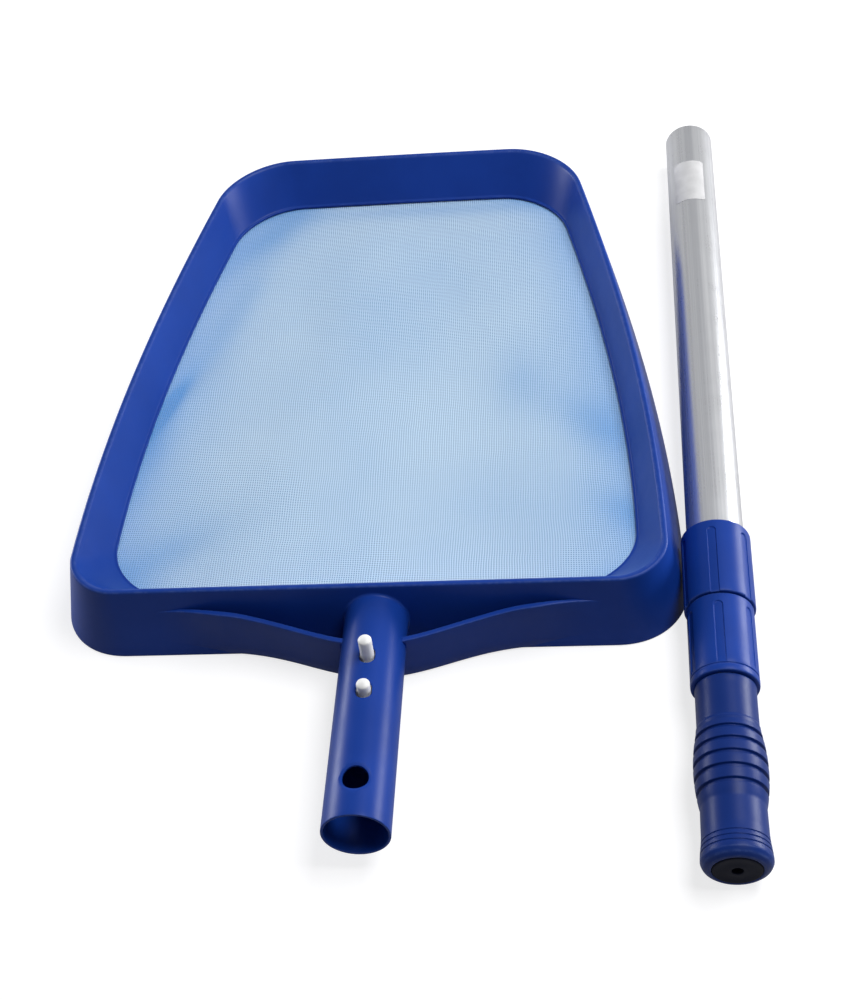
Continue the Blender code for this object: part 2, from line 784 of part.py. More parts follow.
def cut_pole_peg_hole(tube, pole):
    """The hole for the clip's peg, on the side that lies on the floor."""
    bm = rod(POLE_PEG_HOLE / 2, 0.0, OUTER_TUBE_DIAMETER, 16)
    # local -Y of the pole points down
    matrix = (
        Matrix.Translation((0.0, 0.0, POLE_PEG_HOLE_FROM_END))
        @ Matrix.Rotation(math.pi / 2, 4, "X")
    )
    combine(tube, object_from(bm, "tube_hole_cut", parent=pole, matrix=matrix), "DIFFERENCE")


def sleeve_profile(start, tube_end, end, tube_diameter, passing_diameter, wall):
    """A sleeve over one tube's end, with a shoulder behind it and tapered
    fingers round the tube that passes through."""
    over = tube_diameter / 2 + CLEARANCE
    outer = over + wall
    passing = passing_diameter / 2 + CLEARANCE
    return [
        (start, over), (start, outer), (end - SLEEVE_TAPER, outer),
        (end, (outer + passing) / 2 + SLEEVE_WALL / 4), (end, passing),
        (tube_end + CLEARANCE, passing), (tube_end + CLEARANCE, over),
    ]


def build_sleeve(name, start, tube_end, end, diameters, wall, material, pole):
    tube_diameter, passing_diameter = diameters
    profile = sleeve_profile(start, tube_end, end, tube_diameter, passing_diameter, wall)
    sleeve = object_from(turned(profile, ROUND_STEPS), name, material, pole)
    slit_start = tube_end + SLEEVE_WALL * 2
    reach = tube_diameter
    cutter = bmesh.new()
    for k in range(SLIT_COUNT // 2):
        bmesh.ops.create_cube(
            cutter, size=1.0,
            matrix=Matrix.Rotation(math.pi * (k + 0.5) / (SLIT_COUNT // 2), 4, "Z")
            @ Matrix.Translation((0.0, 0.0, (slit_start + end) / 2 + 0.001))
            @ Matrix.Diagonal((2 * reach, SLIT_WIDTH, end - slit_start + 0.002, 1.0)),
        )
    cut = object_from(cutter, f"{name}_slit_cut", parent=pole)
    combine(sleeve, cut, "DIFFERENCE")
    return sleeve


def collar_profile(start, end, outer, bore, sleeve_end, passing_diameter, bead):
    """A sleeve nut: a wide bore over the sleeve, a cone that closes its fingers
    and a lip round the passing tube."""
    lip = passing_diameter / 2 + CLEARANCE * 1.2
    edge = COLLAR_ROUND
    profile = [(start, bore), (start, outer - edge), (start + edge, outer)]
    if bead:
        profile += [
            (end - 0.0044, outer), (end - 0.0041, outer - 0.0005), (end - 0.0035, outer - 0.0005),
            (end - 0.0032, outer + 0.0001), (end - 0.0015, outer + 0.0001),
        ]
    else:
        profile += [(end - edge, outer)]
    profile += [
        (end, outer - edge * 1.2), (end, lip), (sleeve_end + SLEEVE_END_GAP * 0.4, lip),
        (sleeve_end + SLEEVE_END_GAP * 0.1, (bore + lip) / 2 + SLEEVE_WALL * 0.6),
        (sleeve_end - SLEEVE_TAPER + CLEARANCE, bore),
    ]
    return profile


def finger_slots(name, start, end, outer, pole):
    """Cutters for the shallow slots round a collar, round at the far end and
    open at the near end."""
    bm = bmesh.new()
    length = end - start - FINGER_SLOT_START + 0.004
    centre = start + FINGER_SLOT_START + length / 2
    floor = outer - FINGER_SLOT_DEPTH
    for k in range(FINGER_SLOT_COUNT):
        one = prism(slot_outline(length, FINGER_SLOT_WIDTH, 5), floor, outer + 0.004)
        spin = Matrix.Rotation(2 * math.pi * (k + 0.25) / FINGER_SLOT_COUNT, 4, "Z")
        stand = Matrix.Translation((0.0, 0.0, centre)) @ Matrix(
            ((0, 0, 1, 0), (1, 0, 0, 0), (0, 1, 0, 0), (0, 0, 0, 1))
        )
        bmesh.ops.transform(one, matrix=spin @ stand, verts=one.verts)
        mesh = bpy.data.meshes.new(name)
        one.to_mesh(mesh)
        one.free()
        bm.from_mesh(mesh)
        bpy.data.meshes.remove(mesh)
    return object_from(bm, name, parent=pole)


def build_collar(name, start, end, diameter, bore, sleeve_end, passing, bead, material, pole):
    profile = collar_profile(start, end, diameter / 2, bore, sleeve_end, passing, bead)
    collar = object_from(turned(profile, ROUND_STEPS), name, material, pole)
    stop = end - (0.0046 if bead else 0.0)
    slots = finger_slots(f"{name}_slot_cut", start, stop, diameter / 2, pole)
    combine(collar, slots, "DIFFERENCE")
    return collar


def build_guide(name, tube_start, outer_diameter, tube_diameter, material, pole):
    """A ring plug in a tube's far end: its flange runs in the wider tube."""
    flange = outer_diameter / 2 - TUBE_WALL - GUIDE_RUNNING_GAP
    spigot = tube_diameter / 2 - TUBE_WALL - CLEARANCE
    bore = spigot - GUIDE_WALL
    profile = [
        (tube_start - CLEARANCE - GUIDE_FLANGE, bore),
        (tube_start - CLEARANCE - GUIDE_FLANGE, flange),
        (tube_start - CLEARANCE, flange), (tube_start - CLEARANCE, spigot),
        (tube_start + GUIDE_SPIGOT, spigot), (tube_start + GUIDE_SPIGOT, bore),
    ]
    return object_from(turned(profile, ROUND_STEPS), name, material, pole)


def grip_outer_profile(start, end):
    """The grip's outside from its far end to its near end: neck, grooved
    barrel, waist and fine-grooved end."""
    neck, barrel = GRIP_NECK_DIAMETER / 2, GRIP_BARREL_DIAMETER / 2
    waist, tail = GRIP_WAIST_DIAMETER / 2, GRIP_END_DIAMETER / 2
    barrel_start = start + GRIP_NECK_LENGTH
    barrel_end = barrel_start + GRIP_BARREL_LENGTH
    waist_end = barrel_end + GRIP_WAIST_LENGTH

    def barrel_radius(s):
        share = (s - barrel_start) / GRIP_BARREL_LENGTH
        base = neck + (waist - neck) * share
        return base + (barrel - max(neck, waist)) * math.sin(math.pi * share) ** 0.8

    points = [(start, neck + 0.0002 - COLLAR_ROUND), (start + COLLAR_ROUND, neck + 0.0002)]
    points += [(barrel_start - 0.0012, neck), (barrel_start - 0.0006, neck + 0.0005)]
    middle = (barrel_start + barrel_end) / 2
    for k in range(GROOVE_COUNT):
        s = middle + (k - (GROOVE_COUNT - 1) / 2) * GROOVE_PITCH
        half = GROOVE_WIDTH / 2
        points += [
            (s - half, barrel_radius(s - half)),
            (s - half * 0.7, barrel_radius(s) - GROOVE_DEPTH),
            (s + half * 0.7, barrel_radius(s) - GROOVE_DEPTH),
            (s + half, barrel_radius(s + half)),
        ]
    points += [(barrel_end - 0.003, barrel_radius(barrel_end - 0.003)), (barrel_end + 0.001, waist)]
    points += [(waist_end - GRIP_WAIST_LENGTH * 0.3, waist + 0.0002)]
    for k in range(FINE_GROOVE_COUNT):
        s = waist_end + k * FINE_GROOVE_PITCH
        radius = waist + (tail - waist) * (k + 0.8) / (FINE_GROOVE_COUNT + 0.5)
        half = FINE_GROOVE_WIDTH / 2
        points += [
            (s - half, radius), (s, radius - FINE_GROOVE_DEPTH), (s + half, radius + 0.00005),
        ]
    points += [(end - GRIP_CHAMFER, tail), (end - GRIP_CHAMFER * 0.45, tail - GRIP_CHAMFER * 0.25)]
    return points


def build_grip(stations, material, pole):
    start, end = stations["grip_start"], POLE_LENGTH - CLEARANCE
    seat = END_CAP_DIAMETER / 2 + CLEARANCE
    bore = INNER_TUBE_DIAMETER / 2 + CLEARANCE
    core = INNER_TUBE_DIAMETER / 2 - TUBE_WALL - 0.002
    tube_end = stations["inner_tube_end"] + CLEARANCE
    seat_floor = end - END_CAP_THICKNESS
    profile = [(start, bore)] + grip_outer_profile(start, end) + [
        (end, seat + 0.0006), (end, seat), (seat_floor, seat), (seat_floor, core),
        (tube_end, core), (tube_end, bore),
    ]
    return object_from(turned(profile, GRIP_STEPS), "grip", material, pole)


def build_end_cap(material, pole):
    radius = END_CAP_DIAMETER / 2
    core = INNER_TUBE_DIAMETER / 2 - TUBE_WALL - 0.002 - CLEARANCE
    hole = END_CAP_HOLE / 2
    face = POLE_LENGTH
    back = POLE_LENGTH - END_CAP_THICKNESS
    profile = [
        (face, hole), (face, radius - 0.0005), (face - 0.0005, radius), (back, radius),
        (back, core), (back - END_CAP_SPIGOT, core), (back - END_CAP_SPIGOT, hole),
    ]
    return object_from(turned(profile[::-1], ROUND_STEPS), "grip_end_cap", material, pole)


def build_pole(assembly, crest, materials):
    blue, metal, grey = materials["blue"], materials["aluminium"], materials["grey"]
    stations = pole_stations()
    pole = make_empty("pole_outer", assembly, pole_matrix(crest))
    collar_1 = make_empty("collar_1_turn", pole)
    middle = make_empty("pole_middle", pole)
    collar_2 = make_empty("collar_2_turn", middle)
    inner = make_empty("pole_inner", middle)

    outer_tube = build_tube(
        "outer_tube", OUTER_TUBE_DIAMETER, 0.0, stations["outer_tube_end"], metal, pole,
    )
    cut_pole_peg_hole(outer_tube, pole)
    build_tube(
        "middle_tube", MIDDLE_TUBE_DIAMETER, MIDDLE_TUBE_START, stations["middle_tube_end"],
        metal, middle,
    )
    build_tube(
        "inner_tube", INNER_TUBE_DIAMETER, INNER_TUBE_START, stations["inner_tube_end"],
        metal, inner,
    )
    build_guide(
        "middle_tube_guide", MIDDLE_TUBE_START, OUTER_TUBE_DIAMETER, MIDDLE_TUBE_DIAMETER,
        grey, middle,
    )
    build_guide(
        "inner_tube_guide", INNER_TUBE_START, MIDDLE_TUBE_DIAMETER, INNER_TUBE_DIAMETER,
        grey, inner,
    )
    locks = (
        ("1", stations["lock_1_start"], stations["lock_1_end"], stations["outer_tube_end"],
         (OUTER_TUBE_DIAMETER, MIDDLE_TUBE_DIAMETER), COLLAR_1_DIAMETER, SLEEVE_WALL,
         False, pole, collar_1),
        ("2", stations["lock_2_start"], stations["lock_2_end"], stations["middle_tube_end"],
         (MIDDLE_TUBE_DIAMETER, INNER_TUBE_DIAMETER), COLLAR_2_DIAMETER, SLEEVE_WALL_2,
         True, middle, collar_2),
    )
    for number, start, end, tube_end, tubes, diameter, wall, bead, body, turner in locks:
        sleeve_end = end - SLEEVE_END_GAP
        build_sleeve(
            f"lock_sleeve_{number}", start, tube_end, sleeve_end, tubes, wall, blue, body,
        )
        bore = tubes[0] / 2 + CLEARANCE + wall + CLEARANCE
        build_collar(
            f"lock_collar_{number}", start, end, diameter, bore, sleeve_end, tubes[1], bead,
            blue, turner,
        )
    build_grip(stations, blue, inner)
    build_end_cap(grey, inner)


# ---- Assembly ----------------------------------------------------------------


def centre_on_floor(assembly):
    """Move everything so that the box round it is centred on X = Y = 0."""
    bpy.context.view_layer.update()
    graph = bpy.context.evaluated_depsgraph_get()
    corners = []
    for item in bpy.data.objects:
        if item.type == "MESH" and not item.hide_render:
            mesh = item.evaluated_get(graph).to_mesh()
            corners += [item.matrix_world @ vert.co for vert in mesh.vertices]
            item.evaluated_get(graph).to_mesh_clear()
    low = [min(corner[axis] for corner in corners) for axis in range(3)]
    high = [max(corner[axis] for corner in corners) for axis in range(3)]
    assembly.location = (-(low[0] + high[0]) / 2, -(low[1] + high[1]) / 2, -low[2])
    bpy.context.view_layer.update()
    print("box in mm:", [round(1000 * (b - a), 2) for a, b in zip(low, high)])


def report_places():
    """Print the joint lines and the faces that other things meet, in metres."""
    def place(label, matrix, point, direction):
        at = matrix @ Vector(point)
        way = matrix.to_3x3() @ Vector(direction)
        print(f"{label}: at {[round(v, 5) for v in at]} along {[round(v, 5) for v in way]}")

    head = bpy.data.objects["head"].matrix_world
    pole = bpy.data.objects["pole_outer"].matrix_world
    hinge = bpy.data.objects["clip_hinge"].matrix_world
    ring = (SOCKET_DIAMETER + SOCKET_BORE) / 4
    place("socket mouth face", head @ socket_frame(), (0, ring, SOCKET_LENGTH), (0, 0, 1))
    place("clip hinge", hinge, (0, 0, 0), (1, 0, 0))
    tube_ring = (OUTER_TUBE_DIAMETER - TUBE_WALL) / 2
    place("pole end face", pole, (0, tube_ring, 0), (0, 0, -1))
    place("pole axis", pole, (0, 0, 0), (0, 0, 1))
    cap = (END_CAP_DIAMETER + END_CAP_HOLE) / 4
    place("grip end face", pole, (0, cap, POLE_LENGTH), (0, 0, 1))
    foot = skirt_ring(crest_outline(), 0.0, WALL / 2)[0]
    place("foot of the near skirt", head, (foot.x + 0.05, foot.y, 0), (0, 0, -1))


def main():
    clear_scene()
    materials = {
        "blue": make_material("blue_plastic", BLUE, 0.38),
        "white": make_material("white_nylon", WHITE, 0.45),
        "net": make_material("net_mesh", NET_BLUE, 0.70),
        "aluminium": make_material("aluminium", ALUMINIUM, 0.32, 1.0),
        "grey": make_material("grey_plastic", GREY, 0.50),
    }
    assembly = make_empty("assembly")
    head = make_empty("head", assembly)
    build_frame(head, materials["blue"])
    build_net(head, materials["net"])
    build_clip_base(head, materials["white"])
    build_clip_button(head, materials["white"])
    build_pole(assembly, crest_outline(), materials)
    centre_on_floor(assembly)
    report_places()


main()
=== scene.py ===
from math import atan2, cos, exp, hypot, pi, radians, sin, sqrt, tan

import bmesh
import bpy
from mathutils import Matrix, Vector


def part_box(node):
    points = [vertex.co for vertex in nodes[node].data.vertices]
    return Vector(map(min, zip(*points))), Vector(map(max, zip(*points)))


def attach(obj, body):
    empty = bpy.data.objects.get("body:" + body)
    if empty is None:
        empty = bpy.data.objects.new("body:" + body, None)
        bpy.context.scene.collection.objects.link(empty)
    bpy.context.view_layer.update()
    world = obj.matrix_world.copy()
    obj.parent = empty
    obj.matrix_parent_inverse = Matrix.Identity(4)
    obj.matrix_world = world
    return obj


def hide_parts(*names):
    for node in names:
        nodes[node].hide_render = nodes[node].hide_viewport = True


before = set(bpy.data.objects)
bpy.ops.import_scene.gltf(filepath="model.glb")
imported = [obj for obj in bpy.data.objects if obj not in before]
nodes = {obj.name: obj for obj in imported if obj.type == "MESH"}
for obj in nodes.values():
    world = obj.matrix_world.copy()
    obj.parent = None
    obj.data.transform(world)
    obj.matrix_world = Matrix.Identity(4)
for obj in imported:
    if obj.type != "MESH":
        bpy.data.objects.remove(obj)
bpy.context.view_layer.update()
scene = bpy.context.scene


def maths(operation):  # an operator and its reflected form
    return (lambda value, other: value.tree.math(operation, value, other),
            lambda value, other: value.tree.math(operation, other, value))


# A socket that adds the Math nodes for an expression on it
class Value:
    def __init__(self, tree, socket):
        self.tree = tree
        self.socket = socket

    __add__, __radd__ = maths("ADD")
    __sub__, __rsub__ = maths("SUBTRACT")
    __mul__, __rmul__ = maths("MULTIPLY")
    __truediv__, __rtruediv__ = maths("DIVIDE")
    __pow__, __rpow__ = maths("POWER")

    def math(self, operation, *others):
        return self.tree.math(operation, self, *others)

    def clamp(self):
        return self.tree.node("ShaderNodeClamp", None, {0: self})

    def step(self, low, high):  # 0 below low, 1 above high
        values = {0: self, 1: low, 2: high, 3: 0.0, 4: 1.0}
        return self.tree.node("ShaderNodeMapRange", {"interpolation_type": "SMOOTHSTEP"}, values)

    def out(self, name):
        return Value(self.tree, self.socket.node.outputs[name])


class Tree:
    def __init__(self, tree):
        self.tree = tree

    def node(self, kind, settings=None, values=None, out=0):
        made = self.tree.nodes.new(kind)
        for key, value in (settings or {}).items():
            setattr(made, key, value)
        for key, value in (values or {}).items():
            self.feed(made.inputs[key], value)
        return Value(self, made.outputs[out])

    def feed(self, socket, value):
        if isinstance(value, Value):
            self.tree.links.new(value.socket, socket)
        else:
            socket.default_value = value

    def math(self, operation, *values):
        return self.node("ShaderNodeMath", {"operation": operation}, dict(enumerate(values)))

    def mix(self, factor, a, b):
        settings = {"data_type": "RGBA", "clamp_factor": True}
        return self.node("ShaderNodeMix", settings, {0: factor, 6: a, 7: b}, 2)

    def noise(self, vector, scale, detail, rough, **more):
        values = {"Vector": vector, "Scale": scale, "Detail": detail, "Roughness": rough}
        return self.node("ShaderNodeTexNoise", more, values)

    def moved(self, vector, scale=(1, 1, 1), turn=(0, 0, 0)):
        values = {"Vector": vector, "Rotation": turn, "Scale": scale}
        return self.node("ShaderNodeMapping", None, values)

    def vector(self, operation, a, b, second=1):
        values = {0: a, second: b}
        return self.node("ShaderNodeVectorMath", {"operation": operation}, values)

    def split(self, vector):  # X, and Y and Z with out()
        return self.node("ShaderNodeSeparateXYZ", None, {0: vector})


class Finish(Tree):  # one Principled material and its nodes
    def __init__(self, name, **constants):
        self.material = bpy.data.materials.new(name)
        self.material.use_nodes = True
        super().__init__(self.material.node_tree)
        self.shader = self.tree.nodes["Principled BSDF"]
        for key, value in constants.items():
            self.shader.inputs[key.replace("_", " ")].default_value = value

    def coords(self):
        return self.node("ShaderNodeTexCoord", None, None, "Object")

    def attribute(self, name):
        return self.node("ShaderNodeAttribute", {"attribute_name": name}, None, "Fac")

    def done(self, tone, rough, height, depth, strength, **more):
        values = {"Height": height, "Distance": depth, "Strength": strength}
        bump = self.node("ShaderNodeBump", None, values)
        links = {"Base Color": tone, "Roughness": rough.clamp(), "Normal": bump, **more}
        for key, value in links.items():
            self.feed(self.shader.inputs[key], value)
        return self.material


def colour(red, green, blue):
    return (red, green, blue, 1.0)


bluePlasticLook = {
    "deep": colour(0.0060, 0.0390, 0.265),
    "lit": colour(0.0075, 0.0455, 0.305),
    "scuffAndHighlight": colour(0.10, 0.16, 0.42),
    "scratched": 0.07,  # how much of the lighter colour scratches and edges show; on the rounded edges it is partly wear and partly a painted highlight
    "edgeWearAndHighlight": 0.32,
    "gloss": 0.18,
    "roughness": 0.38,
    "grain": 1900.0,  # per metre
    "grainDepth": 0.00002,
}


def bluePlastic(name, scratchTurn=0.0, shade=1.0):
    look = bluePlasticLook
    # shade below 1 darkens both tones: painted shade
    deep, lit = (colour(*(part * shade for part in look[key][:3])) for key in ("deep", "lit"))
    f = Finish(name, IOR=1.46, Specular_IOR_Level=look["gloss"])
    place = f.coords()
    cloud = f.noise(place, 22.0, 3.0, 0.55)
    speck = f.noise(place, look["grain"], 2.0, 0.6)
    along = f.moved(place, scale=(900.0, 26.0, 900.0), turn=(0, 0, scratchTurn))
    scratch = f.noise(along, 1.0, 4.0, 0.65).step(0.64, 0.78)
    smear = f.noise(place, 75.0, 4.0, 0.6)
    patchy = f.noise(place, 260.0, 3.0, 0.7).step(0.40, 0.66) * 0.7 + 0.3
    # the edge mask: the lighter colour it brings to rounded edges is partly wear and partly a
    # painted highlight
    wear = f.attribute("wear") * patchy
    tone = f.mix(cloud.step(0.32, 0.70), deep, lit)
    scuffAndHighlightShare = scratch * look["scratched"] + wear * look["edgeWearAndHighlight"]
    tone = f.mix(scuffAndHighlightShare, tone, look["scuffAndHighlight"])
    rough = look["roughness"] + (smear - 0.5) * 0.16 + scratch * 0.10 + wear * 0.08
    height = speck + smear * 0.8 - scratch * 0.6
    return f.done(tone, rough, height, look["grainDepth"], 0.9)


aluminiumLook = {
    "bright": colour(0.76, 0.77, 0.79),
    "dull": colour(0.54, 0.55, 0.58),
    "metal": 0.85,
    "roughness": 0.30,
    "lineDepth": 0.00006,
}


def drawnAluminium(name):
    look = aluminiumLook
    f = Finish(name, Metallic=look["metal"])
    square = f.moved(f.coords(), turn=(0, 0, radians(pole["turn"])))
    lines, fine, bands = (
        f.noise(f.moved(square, scale=(across, along, across)), 1.0, detail, rough)
        for across, along, detail, rough in (
            (520.0, 1.6, 5.0, 0.68), (2600.0, 9.0, 3.0, 0.6), (120.0, 0.6, 2.0, 0.5)))
    haze = f.noise(f.coords(), 60.0, 3.0, 0.6)
    share = (bands * 0.5 + lines * 0.35 + fine * 0.15).step(0.34, 0.66)
    rough = look["roughness"] + (lines - 0.5) * 0.22 + (haze - 0.5) * 0.10
    height = lines * 0.8 + fine * 0.35 + bands * 1.6
    tone = f.mix(share, look["dull"], look["bright"])
    return f.done(tone, rough, height, look["lineDepth"], 0.8)


mattLooks = {  # dark, light, roughness, gloss
    "clipNylon": (colour(0.86, 0.86, 0.86), colour(0.92, 0.92, 0.92), 0.46, 0.35),
    "capGrey": (colour(0.004, 0.005, 0.014), colour(0.007, 0.009, 0.022), 0.50, 0.08),
    "guideGrey": (colour(0.060, 0.065, 0.080), colour(0.090, 0.095, 0.110), 0.50, 0.5),
}


def mattPlastic(name, dark, light, roughness, gloss):
    f = Finish(name, IOR=1.48, Specular_IOR_Level=gloss)
    place = f.coords()
    speck = f.noise(place, 1500.0, 3.0, 0.6)
    cloud = f.noise(place, 90.0, 3.0, 0.6)
    wear = f.attribute("wear") * f.noise(place, 400.0, 2.0, 0.6)
    tone = f.mix((cloud * 0.7 + speck * 0.3).step(0.3, 0.7), dark, light)
    rough = roughness + (cloud - 0.5) * 0.18 - wear * 0.08
    return f.done(tone, rough, speck + cloud * 0.8, 0.00003, 0.8)


# Plain meshes: rings joined into skins, and profiles turned round an axis


class Skin:
    def __init__(self):
        self.bm = bmesh.new()
        self.wear = self.bm.verts.layers.float.new("wear")

    def ring(self, points, wear=0.0):
        made = [self.bm.verts.new(point) for point in points]
        for vert in made:
            vert[self.wear] = wear
        return made

    def join(self, rings, around=True, along=False):
        pairs = list(zip(rings, rings[1:])) + ([(rings[-1], rings[0])] if along else [])
        for a, b in pairs:
            last = len(a) if around else len(a) - 1
            for k in range(last):
                n = (k + 1) % len(a)
                corners = [a[k], a[n], b[n], b[k]]
                kept = [v for i, v in enumerate(corners) if v not in corners[:i]]
                if len(kept) > 2:
                    self.bm.faces.new(kept)

    def loft(self, rings):  # joined one to the next and closed at both ends
        self.join(rings)
        for ring in (rings[0], rings[-1]):
            self.bm.faces.new(ring)
        return self

    def mesh(self, name, sharp=32.0, closed=True):
        bmesh.ops.remove_doubles(self.bm, verts=self.bm.verts, dist=1e-7)
        bmesh.ops.recalc_face_normals(self.bm, faces=self.bm.faces)
        if closed and self.bm.calc_volume(signed=True) < 0:
            bmesh.ops.reverse_faces(self.bm, faces=self.bm.faces)
        mesh = bpy.data.meshes.new(name)
        self.bm.to_mesh(mesh)
        self.bm.free()
        mesh.shade_smooth()
        mesh.set_sharp_from_angle(angle=radians(sharp))
        return mesh


def link(name, mesh, material=None):
    piece = bpy.data.objects.new(name, mesh)
    scene.collection.objects.link(piece)
    if material:
        mesh.materials.clear()
        mesh.materials.append(material)
    return piece


def settle(piece):  # what the modifiers make becomes the piece's own mesh
    graph = bpy.context.evaluated_depsgraph_get()
    mesh = bpy.data.meshes.new_from_object(piece.evaluated_get(graph))
    piece.modifiers.clear()
    piece.data = mesh
    return piece


def merged(name, meshes, material):
    bm = bmesh.new()
    for mesh in meshes:
        bm.from_mesh(mesh)
    mesh = bpy.data.meshes.new(name)
    bm.to_mesh(mesh)
    bm.free()
    return link(name, mesh, material)


def cut(mesh, cutters):
    body, tool = link("cutBody", mesh), merged("cutTool", cutters, None)
    modifier = body.modifiers.new("cut", "BOOLEAN")
    modifier.operation = "DIFFERENCE"
    modifier.solver = "MANIFOLD"
    modifier.object = tool
    result = settle(body).data
    for item in (body, tool):
        bpy.data.objects.remove(item)
    return result


def toward(here, there, distance):
    return here + (there - here).normalized() * distance


def bend(a, here, b, t):  # a point on the curve from a to b that here pulls out
    return a.lerp(here, t).lerp(here.lerp(b, t), t)


def rounded(corners, closed=True):
    # corners are (along, out, radius, steps): a rounded polyline with its wear at the bends
    points = []
    count = len(corners)
    for k, (along, out, radius, steps) in enumerate(corners):
        here = Vector((along, out))
        before = Vector(corners[k - 1][:2]) if closed or k else None
        after = Vector(corners[(k + 1) % count][:2]) if closed or k + 1 < count else None
        if radius <= 0.0 or before is None or after is None:
            points.append((along, out, 0.0))
            continue
        a, b = (toward(here, there, min(radius, (there - here).length * 0.49))
                for there in (before, after))
        for i in range(steps + 1):
            t = i / steps
            points.append((*bend(a, here, b, t), 1.0 - abs(2 * t - 1)))
    return points


def spaced(profile, longest, closed=True):  # adds points on the long straights of a profile
    result = []
    for a, b in zip(profile, profile[1:] + (profile[:1] if closed else [])):
        result.append(a)
        gap = hypot(b[0] - a[0], b[1] - a[1])
        parts = int(gap / longest) + 1
        for i in range(1, parts):
            t = i / parts
            result.append((a[0] + (b[0] - a[0]) * t, a[1] + (b[1] - a[1]) * t, 0.0))
    if not closed:
        result.append(profile[-1])
    return result


def turnedSkin(profile, angles, closed=True):
    # profile points are (along, out, wear); along is local Z
    skin, rings = Skin(), []
    for along, out, wear in profile:
        if out <= 1e-9:
            vert = skin.ring([(0.0, 0.0, along)])[0]
            rings.append([vert] * len(angles))
        else:
            points = [(out * cos(a), out * sin(a), along) for a in angles]
            rings.append(skin.ring(points, wear))
    skin.join(rings, True, closed)
    return skin


def evenly(steps):
    return [2 * pi * k / steps for k in range(steps)]


def circle(radius, steps):
    return [Vector((radius * cos(a), radius * sin(a))) for a in evenly(steps)]


def normals(line):  # of a closed line, outwards
    ways = [(b - a).normalized() for a, b in zip(line[-1:] + line[:-1], line[1:] + line[:1])]
    return [Vector((way.y, -way.x)) for way in ways]


def rod(name, radius, steps, low, high):  # along Z between two heights
    skin = Skin()
    points = circle(radius, steps)
    return skin.loft([skin.ring([(x, y, z) for x, y in points]) for z in (low, high)]).mesh(name)


def seat(piece, matrix, body, slot, *replaced):
    piece.data.transform(matrix)
    if replaced:
        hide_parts(*replaced)
    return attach(piece, body)


# Geometry Nodes: a tree takes a fine turned skin and presses what repeats into it


class Shape(Tree):
    def __init__(self, name, *numbers):
        super().__init__(bpy.data.node_groups.new(name, "GeometryNodeTree"))
        face = self.tree.interface
        face.new_socket("Geometry", in_out="INPUT", socket_type="NodeSocketGeometry")
        for key in numbers:
            face.new_socket(key, in_out="INPUT", socket_type="NodeSocketFloat")
        face.new_socket("Material", in_out="INPUT", socket_type="NodeSocketMaterial")
        face.new_socket("Geometry", in_out="OUTPUT", socket_type="NodeSocketGeometry")
        self.start = self.tree.nodes.new("NodeGroupInput")
        self.end = self.tree.nodes.new("NodeGroupOutput")

    def input(self, name):
        return Value(self, self.start.outputs[name])

    def place(self):
        return self.node("GeometryNodeInputPosition")

    def inStroke(self, away):  # 1 within half the Width input of a line, with soft sides
        half, soft = self.input("Width") / 2.0, self.input("Softness")
        return 1.0 - away.step(half - soft, half + soft)

    def pressed(self, depth):  # the tree that moves each point towards local Z by a depth
        flat = self.vector("MULTIPLY", self.place(), (1.0, 1.0, 0.0))
        out = self.node("ShaderNodeVectorMath", {"operation": "NORMALIZE"}, {0: flat})
        move = self.vector("SCALE", out, depth * -1.0, "Scale")
        values = {"Geometry": self.input("Geometry"), "Offset": move}
        pressed = self.node("GeometryNodeSetPosition", None, values)
        values = {"Geometry": self.node("GeometryNodeRealizeInstances", None, {0: pressed}),
                  "Material": self.input("Material")}
        self.feed(self.end.inputs[0], self.node("GeometryNodeSetMaterial", None, values))
        return self.tree


def shaped(name, mesh, tree, values, material):
    piece = link(name, mesh, material)
    modifier = piece.modifiers.new("shape", "NODES")
    modifier.node_group = tree
    values = {**values, "Material": material}
    for item in tree.interface.items_tree:
        if item.in_out == "INPUT" and item.name in values:
            modifier[item.identifier] = values[item.name]
    return settle(piece)


def grooveTree():
    # grooves of one width at an even pitch round a turned skin
    s = Shape("groovesAtPitch", "First", "Pitch", "Count", "Width", "Depth", "Softness")
    place = (s.split(s.place()).out("Z") - s.input("First")) / s.input("Pitch")
    nearest = place.math("ROUND").math("MAXIMUM", 0.0).math("MINIMUM", s.input("Count") - 1.0)
    away = (place - nearest).math("ABSOLUTE") * s.input("Pitch")
    return s.pressed(s.inStroke(away) * s.input("Depth"))


def slotTree():
    # long slots round a turned skin: round at their far ends and open at the near end
    s = Shape("slotsRound", "Sector", "Turn", "Start", "End", "Width", "Depth", "Softness",
              "Radius")
    place = s.split(s.place())
    angle = place.out("Y").math("ARCTAN2", place) - s.input("Turn")
    sector = s.input("Sector")
    turn = angle.math("WRAP", sector * 0.75, sector * -0.25)
    across = (turn - sector * 0.25) * s.input("Radius")
    roundEnd = s.input("Start") + s.input("Width") / 2.0
    beyond = (roundEnd - place.out("Z")).math("MAXIMUM", 0.0)
    away = (across * across + beyond * beyond) ** 0.5
    inside = place.out("Z").step(s.input("End"), s.input("End") - 0.0001)
    outer = (place * place + place.out("Y") * place.out("Y")) ** 0.5
    skinOnly = outer.step(s.input("Radius") - 0.0006, s.input("Radius") - 0.0005)
    return s.pressed(s.inStroke(away) * inside * skinOnly * s.input("Depth"))


# The head lies in its own axes: the near crest line at Y = 0, the middle line at X = 0
netLow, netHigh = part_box("skimmer_net")
headPlace = Matrix.Translation(((netLow.x + netHigh.x) / 2, netLow.y - 0.0118, 0.0))

